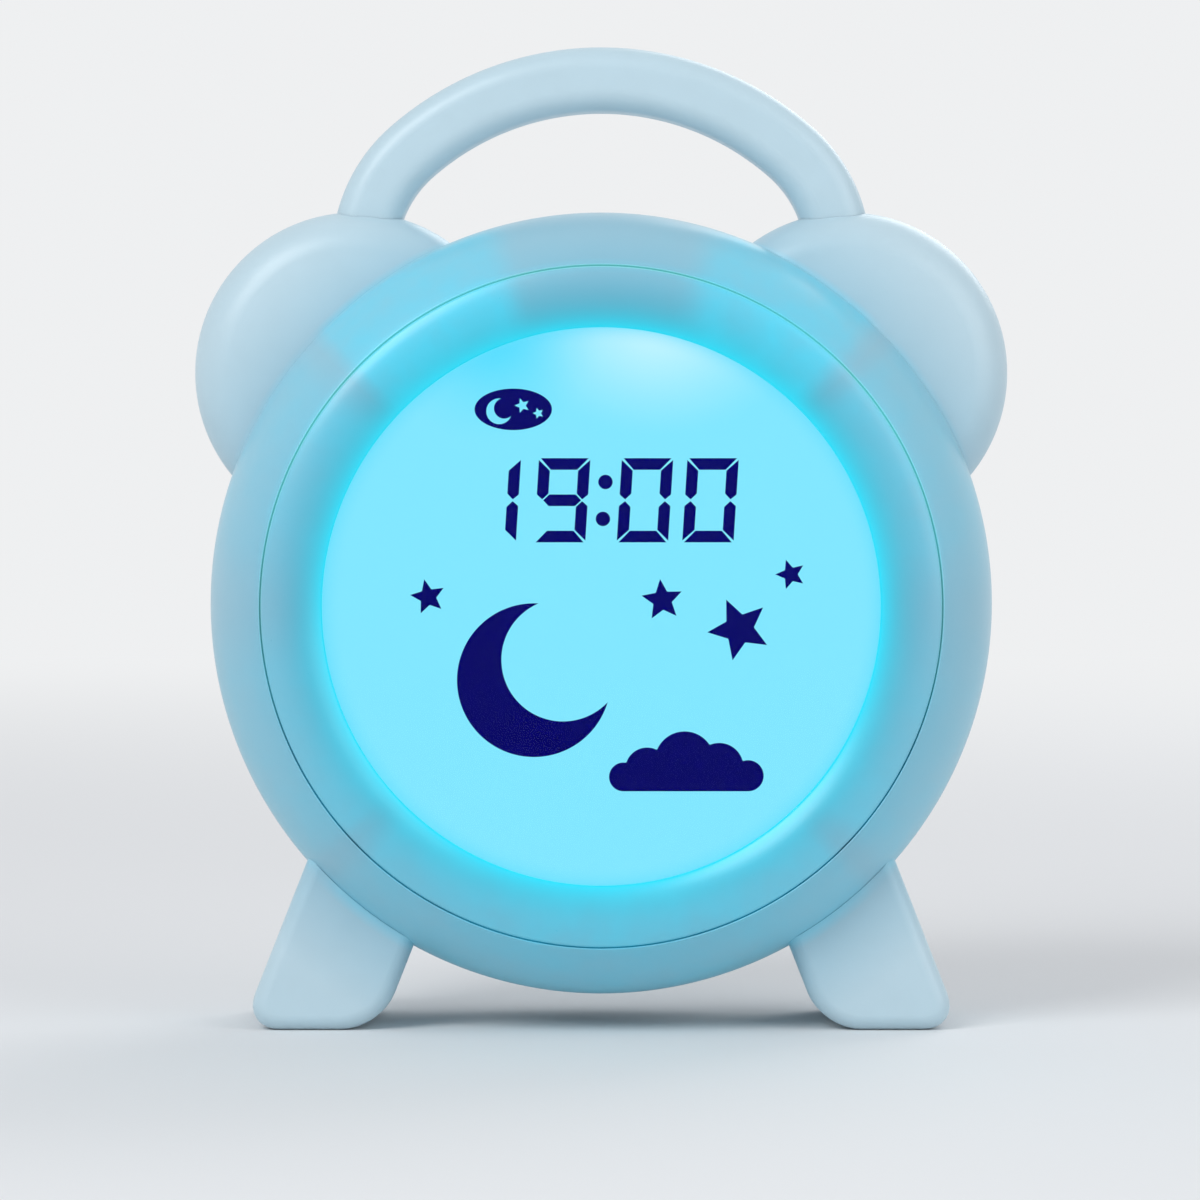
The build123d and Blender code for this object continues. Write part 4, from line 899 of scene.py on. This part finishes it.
def outworks(way, foot_depth):
    """Ears and feet of the front (way -1) or rear half, outside the drum's core."""
    forms = [combined("DIFFERENCE", ear_button(side, way), [notch()]) for side in SIDES]
    forms += [foot_block(side, foot_depth) for side in SIDES]
    return [combined("DIFFERENCE", form, [post((0, 0), *CORE, FULL_TURN)]) for form in forms]


front = combined("UNION", drum_front(), outworks(-1, FOOT_FRONT))
placed("front_housing", front, "housing", "housing", "front_shell")

# %% [markdown]
# ## Openings with rounded lips
# The back is full of openings: keys, grille, switch, socket, screw wells and the battery door. On a moulding no
# opening has a knife edge. A Bevel after the cuts would have to find every rim again, so the rounding is built
# into the cutting tool: its outline starts wide at the surface, is inset three times while it sinks, which
# follows a quarter of a circle, and then goes straight down.

# %% Cutting tools
BACK_Y = 24.0
BACK_ROUND = 8.0
INNER_BACK_Y = BACK_Y - WALL
OUTSIDE_Y = 26.0
# Inwards and deeper, as shares of the lip, for each 30 degrees of a quarter circle.
QUARTER = ((0.5, 0.134), (0.366, 0.366), (0.134, 0.5))


def outline_face(mesh, half_w, half_h, lower, upper):
    """One flat face with rounded lower and upper corners, turned to face the front."""
    vertex = mesh.verts.new((half_w, lower - half_h, 0))
    for x, y, corner in ((1, 1, upper), (-1, 1, upper), (-1, -1, lower), (1, -1, lower)):
        centre = (x * (half_w - corner), y * (half_h - corner))
        arrival = (x * half_w, centre[1]) if x * y > 0 else (centre[0], y * half_h)
        vertex = straight(mesh, vertex, arrival)
        if corner:
            vertex = arc(mesh, vertex, centre, 90, 12)
    bmesh.ops.remove_doubles(mesh, verts=mesh.verts, dist=TOUCH)
    bmesh.ops.edgeloop_fill(mesh, edges=mesh.edges[:])
    bmesh.ops.rotate(mesh, verts=mesh.verts, cent=(0, 0, 0), matrix=Matrix.Rotation(pi / 2, 3, "X"))
    face = mesh.faces[:][0]
    face.normal_update()
    if face.normal.y > 0:
        face.normal_flip()
    return face


def sunk(mesh, face, depth, keep=False):
    """Pushes a face straight to a depth and gives it back."""
    made = bmesh.ops.extrude_face_region(mesh, geom=[face], use_keep_orig=keep)["geom"]
    for vertex in verts_in(made):
        vertex.co.y = depth
    if not keep:
        bmesh.ops.delete(mesh, geom=[face], context="FACES_ONLY")
    return [part for part in made if isinstance(part, bmesh.types.BMFace)][0]


def pocket(centre, width, height, corners, floor, lip=EDGE_ROUND):
    """Tool for an opening in the back: lower and upper corner radius, floor depth and lip."""
    mesh = bmesh.new()
    lower, upper = (corner + lip if corner else 0 for corner in corners)
    face = outline_face(mesh, width / 2 + lip, height / 2 + lip, lower, upper)
    bmesh.ops.translate(mesh, verts=mesh.verts, vec=(centre[0], BACK_Y + 1, centre[1]))
    face = sunk(mesh, face, BACK_Y, keep=True)
    for inwards, deeper in QUARTER:
        bmesh.ops.inset_individual(
            mesh, faces=[face], thickness=inwards * lip, depth=deeper * lip, use_even_offset=True
        )
    sunk(mesh, face, floor)
    outwards(mesh)
    return mesh


def round_pocket(centre, radius, floor, lip=EDGE_ROUND):
    return pocket(centre, 2 * radius, 2 * radius, (radius, radius), floor, lip)


def on_ring(radius, angle):
    return (radius * cos(radians(angle)), radius * sin(radians(angle)))


print("cutting tools ready")

# %% [markdown]
# ## Rear housing
# The rear moulding closes the drum with a rounded edge and a flat back. Its drum is spun like the front one,
# the ears and feet are the same forms turned the other way, and the battery bay and screw bosses join from
# inside. All the openings are then cut in rounds, because tools within one round must not touch.

# %% Places in the back
KEY_RING_R = 38.0
SCREW_RING_R = 51.6
KEY_PLACES = [on_ring(KEY_RING_R, angle) for angle in (20, 42, 64, 160, 138, 116)]
SCREW_PLACES = [on_ring(SCREW_RING_R, angle) for angle in (45, 135, 225, 315)]
SWITCH_PLACE = (39.2, -7.5)
SWITCH_SLOT = (3.0, 7.0, (0.3, 0.3))
SOCKET_PLACE = (-39.2, -7.5)
SOCKET_HOLE = (4.0, 9.8, (2.0, 2.0))
GRILLE_UP = 22.0
BAY = ((-25.45, 10.95, -38.55), (25.45, OUTSIDE_Y, -5.45))
BAY_WALL = 1.5
HINGE = (22.4, -3.6)
LATCH = (0, -41.55)
LUG_R = 4.6
DOOR_W = 55.9
DOOR_CORNER = 3.0
DOOR_BOTTOM = -41.05
DOOR_H = HINGE[1] - DOOR_BOTTOM
DOOR_UP = (HINGE[1] + DOOR_BOTTOM) / 2
DOOR_BACK_Y = BACK_Y - 2.0
DOOR_PLAY = 0.25
BARREL_SEAT_X = DOOR_W / 2 + DOOR_PLAY
BARREL_SEAT_R = 1.87
BARREL_SLOT = (-5.5, -1.7)
PIN_SEAT_R = 0.85
PIN_OUT = 1.5
KEY_WELL_R = 4.6
SCREW_WELL_R = 2.8
SCREW_SEAT_Y = BACK_Y - 7.0
LATCH_SEAT_Y = BACK_Y - 1.2
THROUGH = INNER_BACK_Y - 1
print(len(KEY_PLACES), "key wells and", len(SCREW_PLACES), "screw wells placed")

# %% Forms of the rear housing
LEDGE = ((-30.95, 20.5, -44.45), (30.95, 23.1, -0.2))
# Radius, front and back of the round forms and bores.
LATCH_LEDGE = (6.4, 20.5, 23.1)
LATCH_BOSS = (2.9, 17.0, 22.0)
LATCH_BORE = (1.55, 16.0, OUTSIDE_Y)
SCREW_BOSS = (4.2, 4.0, INNER_BACK_Y + 0.5)
SCREW_BORE = (1.3, 3.0, 20.0)


def drum_rear():
    mesh = bmesh.new()
    round_r, bend_y = DRUM_R - BACK_ROUND, BACK_Y - BACK_ROUND
    start = mesh.verts.new((round_r, BACK_Y, 0))
    side = arc(mesh, start, (round_r, bend_y), -90, 24)
    inside = straight(
        mesh,
        side,
        (DRUM_R, PARTING),
        (DRUM_R - PARTING, 0),
        (DRUM_R - WALL, 0),
        (DRUM_R - WALL, bend_y),
    )
    arc(mesh, inside, (round_r, bend_y), 90, 8)
    turn_about(mesh, FULL_TURN)
    bmesh.ops.holes_fill(mesh, edges=[edge for edge in mesh.edges if edge.is_boundary])
    outwards(mesh)
    return mesh


def inner_forms():
    """Bay, ledge round the door, and the bosses behind the back."""
    low, high = BAY
    bay = block(
        [value - BAY_WALL for value in low], (high[0] + BAY_WALL, DOOR_BACK_Y, high[2] + BAY_WALL)
    )
    bosses = gathered([post(place, *SCREW_BOSS) for place in SCREW_PLACES])
    return [bay, block(*LEDGE), post(LATCH, *LATCH_LEDGE), post(LATCH, *LATCH_BOSS), bosses]


def grille():
    """Seven slots that fill a circle over the speaker."""
    radius, pitch, slot_h, lip = 12.4, 3.2, 1.6, 0.25
    slots = []
    for up in [row * pitch for row in range(-3, 4)]:
        length = 2 * sqrt(radius**2 - up**2)
        corners = (slot_h / 2, slot_h / 2)
        slots.append(pocket((0, GRILLE_UP + up), length, slot_h, corners, THROUGH, lip))
    return slots


def openings():
    """The cutting tools, in rounds of tools that don't touch each other."""
    first = [round_pocket(place, KEY_WELL_R, THROUGH) for place in KEY_PLACES]
    first += [round_pocket(place, SCREW_WELL_R, SCREW_SEAT_Y) for place in SCREW_PLACES]
    first += grille()
    first += [
        pocket(SWITCH_PLACE, *SWITCH_SLOT, THROUGH),
        pocket(SOCKET_PLACE, *SOCKET_HOLE, THROUGH),
        pocket(
            (0, DOOR_UP - DOOR_PLAY / 2),
            DOOR_W + 2 * DOOR_PLAY,
            DOOR_H + DOOR_PLAY,
            (DOOR_CORNER + DOOR_PLAY, 0),
            DOOR_BACK_Y,
        ),
    ]
    second = [
        round_pocket(LATCH, LUG_R + DOOR_PLAY, DOOR_BACK_Y),
        block((-BARREL_SEAT_X, HINGE[0], BARREL_SLOT[0]), (BARREL_SEAT_X, OUTSIDE_Y, BARREL_SLOT[1])),
    ]
    second += [post(place, *SCREW_BORE) for place in SCREW_PLACES]
    third = [block(*BAY), post(LATCH, *LATCH_BORE)]
    barrel_seat = rod(HINGE, BARREL_SEAT_R, BARREL_SEAT_X)
    pin_seat = rod(HINGE, PIN_SEAT_R, BARREL_SEAT_X + PIN_OUT)
    return [gathered(first), gathered(second), gathered(third), barrel_seat, pin_seat]


print("forms of the rear housing ready")

# %% Rear housing
FOOT_BACK = 17.0
rear = combined("UNION", drum_rear(), outworks(1, FOOT_BACK) + inner_forms())
rear = combined("DIFFERENCE", rear, openings())
placed("rear_housing", rear, "housing", "housing", "rear_shell")

# %% [markdown]
# ## Battery door
# The door is a plate with a lug for its screw and a barrel along its top edge, where it swings. The plate and
# the lug are joined first and their rim is rounded; the barrel comes after, so that it stays a true cylinder.
# It is a hair shorter than the plate, because exact cuts dislike end faces that lie in one plane.

# %% Battery door
BARREL_R = 1.6
BARREL_SHORT = 0.05
PIN_R = 0.8
DOOR_BORE = (1.25, 20.0, OUTSIDE_Y)


def battery_door():
    plate = bmesh.new()
    face = outline_face(plate, DOOR_W / 2, DOOR_H / 2, DOOR_CORNER, 0)
    bmesh.ops.translate(plate, verts=plate.verts, vec=(0, DOOR_BACK_Y, DOOR_UP))
    sunk(plate, face, BACK_Y, keep=True)
    outwards(plate)
    door = combined("UNION", plate, [post(LATCH, LUG_R, DOOR_BACK_Y, BACK_Y, 96)])
    rounded(door, hard_edges(door, lambda place: near(place.y, BACK_Y)), EDGE_ROUND, 3)
    barrel = rod(HINGE, BARREL_R, DOOR_W / 2 - BARREL_SHORT)
    pins = rod(HINGE, PIN_R, DOOR_W / 2 + PIN_OUT)
    door = combined("UNION", door, [barrel, pins])
    head_seat = round_pocket(LATCH, SCREW_WELL_R, LATCH_SEAT_Y, lip=0.2)
    door = combined("DIFFERENCE", door, [head_seat, post(LATCH, *DOOR_BORE)])
    placed("battery_door_panel", door, "battery_door", "housing", "battery_door")


battery_door()

# %% [markdown]
# ## Keys
# Each key is a round cap with a dished top that a fingertip finds in the dark, a flange that keeps it in its
# hole, and a stem that reaches its switch. All of it is one outline, spun about the key's own axis, and each
# key rides on its own body because it moves by itself.

# %% Keys
KEY_NAMES = ("hour", "minute", "alarm", "mode", "light", "volume")
KEY_TOP_Y = 25.0
KEY_R = 4.3
KEY_ROUND = 0.5
DISH_R = 3.5
DISH_DEEP = 0.35
# Radius and depth of the cap's side, the flange and the stem.
KEY_SIDE = ((KEY_R, 21.7), (5.3, 21.7), (5.3, 20.7), (1.3, 20.7), (1.3, 18.2), (0, 18.2))


def key_cap(name, place):
    mesh = bmesh.new()
    dish_y = KEY_TOP_Y - DISH_DEEP
    dish_arc, dish_angle = crest_arc(DISH_R, DISH_DEEP)
    brim = (KEY_R - KEY_ROUND, KEY_TOP_Y)
    middle = mesh.verts.new((0, dish_y, 0))
    edge = straight(mesh, arc(mesh, middle, (0, dish_y + dish_arc), dish_angle, 8), brim)
    side = arc(mesh, edge, (KEY_R - KEY_ROUND, KEY_TOP_Y - KEY_ROUND), -90, 8)
    straight(mesh, side, *KEY_SIDE)
    turn_about(mesh, 64, place)
    placed(f"{name}_cap", mesh, name, "keys", name)


for key_name, key_place in zip(KEY_NAMES, KEY_PLACES):
    key_cap(f"key_{key_name}", key_place)

# %% [markdown]
# ## Screws and the slide knob
# The four housing screws sit deep in their wells and the door's screw in its lug. A pan head is spun, and a
# cross recess is cut with two thin blocks. The slide knob is a small block with soft edges and three grooves.

# %% Screws
HEAD_R = 2.5
HEAD_ROUND = 0.8
SHANK_R = 1.2
TIP_R = 0.4
CROSS_REACH = 1.5
CROSS_HALF = 0.3
CROSS_DEEP = 0.7


def cross_screw(place, seat, thick, tip):
    """Pan-head screw: head behind its seat, shank reaching forward to its tip."""
    mesh = bmesh.new()
    top, flat_r = seat + thick, HEAD_R - HEAD_ROUND
    flat = straight(mesh, mesh.verts.new((0, top, 0)), (flat_r, top))
    head = arc(mesh, flat, (flat_r, top - HEAD_ROUND), -90, 6)
    taper = tip + SHANK_R - TIP_R
    straight(mesh, head, (HEAD_R, seat), (SHANK_R, seat), (SHANK_R, taper), (TIP_R, tip), (0, tip))
    turn_about(mesh, 48, place)
    x, up = place
    cross = [
        block((x - across, top - CROSS_DEEP, up - tall), (x + across, top + 1, up + tall))
        for across, tall in ((CROSS_REACH, CROSS_HALF), (CROSS_HALF, CROSS_REACH))
    ]
    return combined("DIFFERENCE", mesh, cross)


case_screws = gathered([cross_screw(place, SCREW_SEAT_Y, thick=1.8, tip=-3.0) for place in SCREW_PLACES])
placed("case_screws", case_screws, "housing", "screws", "housing_screws")
door_screw = cross_screw(LATCH, LATCH_SEAT_Y, thick=1.0, tip=19.5)
placed("door_screw", door_screw, "battery_door_screw", "screws", "battery_door_screw")

# %% Slide knob
KNOB = ((38.0, 18.25, -9.2), (40.4, 24.6, -5.8))
GROOVE_R = 0.26
GROOVE_PITCH = 0.95
GROOVE_Y = 24.65

knob = block(*KNOB)
rounded(knob, hard_edges(knob), EDGE_ROUND, 3)
grooves = [
    rod((GROOVE_Y, SWITCH_PLACE[1] + row * GROOVE_PITCH), GROOVE_R, 3.0, 16, across=SWITCH_PLACE[0])
    for row in (-1, 0, 1)
]
knob = combined("DIFFERENCE", knob, [gathered(grooves)])
placed("slide_knob", knob, "slide_switch_knob", "switch_body", "slide_switch_knob")

# %% [markdown]
# ## Digits on the display
# A liquid-crystal display shows flat shapes with knife-sharp edges. The time is made of seven-segment digits:
# each segment is a thin bar with mitred ends, and the whole row leans a few degrees. Only three of the seven
# segments are drawn, because the others are the same shapes flipped over. Every mark is a thin plate just
# under the window.

# %% Segments and marks
MARK_BACK = -20.12
MARK_T = 0.06
SLANT = 0.062
DIGIT_H = 13.1
DIGIT_W = 8.0
BAR = 1.80
MITRE = 0.14


def segment_outline(letter):
    """One segment of a digit, as points across and up from the digit's lower left corner."""
    half, middle = BAR / 2, DIGIT_H / 2
    left, right = BAR + MITRE, DIGIT_W - BAR - MITRE
    if letter == "g":
        tips = (half + MITRE, middle), (DIGIT_W - half - MITRE, middle)
        above, below = middle + half, middle - half
        return (tips[0], (left, above), (right, above), tips[1], (right, below), (left, below))
    if letter in "ad":
        end, inner = 2 * MITRE, DIGIT_H - BAR
        points = ((end, DIGIT_H), (DIGIT_W - end, DIGIT_H), (right, inner), (left, inner))
    else:
        points = (
            (0, DIGIT_H - 2 * MITRE),
            (BAR, DIGIT_H - BAR - MITRE),
            (BAR, middle + half + MITRE),
            (half, middle + MITRE),
            (0, middle + half),
        )
    if letter in "bc":
        points = [(DIGIT_W - x, up) for x, up in points]
    if letter in "cde":
        points = [(x, DIGIT_H - up) for x, up in points]
    return points


def mark(centre, radii, points=48, waist=1.0, turn=0.0, beyond=0.0):
    """A flat round mark, or a star when every second point is drawn in to its waist."""
    mesh = bmesh.new()
    upright = Matrix.Rotation(pi / 2, 3, "X")
    bmesh.ops.create_circle(mesh, cap_ends=True, segments=points, radius=1)
    bmesh.ops.scale(mesh, verts=mesh.verts[:][1::2], vec=(waist, waist, 1))
    bmesh.ops.rotate(mesh, verts=mesh.verts, cent=(0, 0, 0), matrix=Matrix.Rotation(radians(turn), 3, "Z"))
    bmesh.ops.scale(mesh, verts=mesh.verts, vec=(*radii, 1))
    bmesh.ops.rotate(mesh, verts=mesh.verts, cent=(0, 0, 0), matrix=upright)
    bmesh.ops.translate(mesh, verts=mesh.verts, vec=(centre[0], MARK_BACK + beyond, centre[1]))
    pushed(mesh, mesh.faces[:], (0, -MARK_T - 2 * beyond, 0))
    return mesh


print("segments and marks ready")

# %% Digits
SEGMENTS = {"0": "abcdef", "1": "bc", "9": "abcdfg"}
DIGITS = (("1", -21.3), ("9", -10.5), ("0", 2.4), ("0", 12.6))
DIGIT_FOOT = 10.0
DOT_R = 1.12
DOTS = ((0.65, 19.4), (0.25, 13.65))


def digits():
    mesh = bmesh.new()
    for digit, left in DIGITS:
        for letter in SEGMENTS[digit]:
            outline = [(left + x + SLANT * up, DIGIT_FOOT + up) for x, up in segment_outline(letter)]
            mesh.faces.new([mesh.verts.new((x, MARK_BACK, up)) for x, up in outline])
    pushed(mesh, mesh.faces[:], (0, -MARK_T, 0))
    dots = [mark(place, (DOT_R, DOT_R)) for place in DOTS]
    placed("time_digits", gathered([mesh, *dots]), "housing", "polariser", finish=display_ink)


digits()

# %% [markdown]
# ## Badge and night sky
# Small signs on such a display tell the mode: here an oval badge with a moon and two stars left clear in it.
# Below the time the sleeping clock shows a night sky with a crescent moon, a few stars and a cloud.
# A crescent is a disc with a larger bite out of it, and a cloud is a row of discs melted together, so exact
# unions and differences of plain marks draw both.

# %% Badge and night sky
STAR_WAIST = 0.46
BITE_ASIDE = 0.46
BITE_R = 0.8
BEYOND = 0.1
# Place across and radius of each disc of a cloud of size 1, and half the width and height of its foot.
PUFFS = ((0, 5.2), (-6.5, 3.8), (6.0, 4.2), (11.0, 2.7), (-10.6, 2.5))
FOOT_HALF_W = 10.8
FOOT_HALF_H = 1.5


def star(centre, reach, turn=90.0, beyond=0.0):
    return mark(centre, (reach, reach), points=10, waist=STAR_WAIST, turn=turn, beyond=beyond)


def crescent(centre, reach, lean, beyond=0.0):
    """A moon whose open side looks along an angle."""
    aside, bite = on_ring(BITE_ASIDE * reach, lean), BITE_R * reach
    bite_centre = (centre[0] + aside[0], centre[1] + aside[1])
    moon = mark(centre, (reach, reach), 96, beyond=beyond)
    return combined("DIFFERENCE", moon, [mark(bite_centre, (bite, bite), 96, beyond=beyond + BEYOND)])


def cloud(centre, size):
    """Five discs on one level foot, which is a square mark pulled wide."""
    foot = mark(centre, (FOOT_HALF_W * size * sqrt(2), FOOT_HALF_H * size * sqrt(2)), 4, turn=45)
    discs = [
        mark((centre[0] + x * size, centre[1] + (reach - FOOT_HALF_H) * size), (reach * size, reach * size))
        for x, reach in PUFFS
    ]
    return combined("UNION", foot, discs)


night_sky = gathered([
    crescent((-10.5, -11.5), 12.0, 35),
    star((9.5, 1.0), 3.3, 78),
    star((21.5, -3.5), 5.0, 96),
    star((29.5, 5.0), 2.4, 90),
    star((-27.0, 1.5), 2.8, 84),
    cloud((13.0, -27.5), 0.9),
])
placed("night_sky", night_sky, "housing", "polariser", finish=display_ink)

clear_signs = gathered([
    crescent((-15.9, 30.4), 2.0, 30, BEYOND),
    star((-12.3, 31.3), 1.2, beyond=BEYOND),
    star((-9.8, 30.1), 0.9, beyond=BEYOND),
])
badge = combined("DIFFERENCE", mark((-13.7, 30.7), (6.02, 3.23), 96), [clear_signs])
placed("sleep_badge", badge, "housing", "polariser", finish=display_ink)

# %% [markdown]
# ## Floor, backdrop and light
# The clock stands on a pale floor that fades into a sky of the same tone, so that no horizon shows from any
# side. Three large soft lamps and an even sky light it plainly, and a colour renders about as it is written.
# The fade is light that only the camera, mirrors and glass see, so the floor near the clock keeps its shadow.

# %% Stage
FLOOR_R = 14.0
PAPER = (0.78, 0.79, 0.80)
BACKDROP = (0.86, 0.87, 0.88)
SKY_LIGHT = (0.52, 0.53, 0.55)
FADE_FROM = 260.0
FADE_TO = 1300.0


class Sky(Finish):
    """The world's finish: its one shader is a Background."""

    def __init__(self, name):
        self.begin(bpy.data.worlds.new(name), "Background")


def seen_directly(finish):
    """1 for what the camera sees, also in a mirror or through glass, and 0 for the light on the clock."""
    paths = finish.node("ShaderNodeLightPath", {}).socket.node.outputs
    camera_ray, glossy, through = [
        Wire(finish, paths[f"Is {kind} Ray"]) for kind in ("Camera", "Glossy", "Transmission")
    ]
    return finish.clamp(camera_ray + glossy + through)


def paper():
    finish = Finish("paper")
    x, depth, _ = finish.axes(finish.point())
    fade = finish.ramp(distance(x, depth) / FADE_TO, ((FADE_FROM / FADE_TO, 0.0), (1.0, 1.0)))
    far = fade * seen_directly(finish)
    return finish.done(
        Base_Color=finish.mix(far, PAPER, NO_LIGHT),
        Emission_Color=finish.mix(far, NO_LIGHT, BACKDROP),
        Emission_Strength=1.0,
        Specular_IOR_Level=0.0,
        Roughness=finish.noise(finish.point(), scale=0.01) * 0.1 + 0.7,
    )


def stage():
    mesh = bmesh.new()
    bmesh.ops.create_circle(mesh, cap_ends=True, segments=96, radius=FLOOR_R)
    sheet = linked("floor", stored("floor", mesh))
    sheet.data.materials.append(paper())


def lamp(name, place, size, power):
    """A large square lamp that looks at the middle of the dial."""
    data = bpy.data.lights.new(name, "AREA")
    data.shape = "SQUARE"
    data.size = size
    data.energy = power
    made = linked(name, data)
    made.location = place
    made.rotation_euler = (Vector((0, 0, DIAL_Z * MM)) - Vector(place)).to_track_quat("-Z", "Y").to_euler()


stage()
lamp("key_light", (-0.7, -0.9, 0.9), 0.7, 9.0)
lamp("fill_light", (0.9, -0.7, 0.5), 0.9, 3.5)
lamp("back_light", (0.6, 1.1, 0.9), 0.9, 6.0)
sky = Sky("soft_sky")
bpy.context.scene.world = sky.done(Color=sky.mix(seen_directly(sky), SKY_LIGHT, BACKDROP), Strength=1.0)
bpy.context.scene.view_settings.view_transform = "Standard"
print("stage ready")
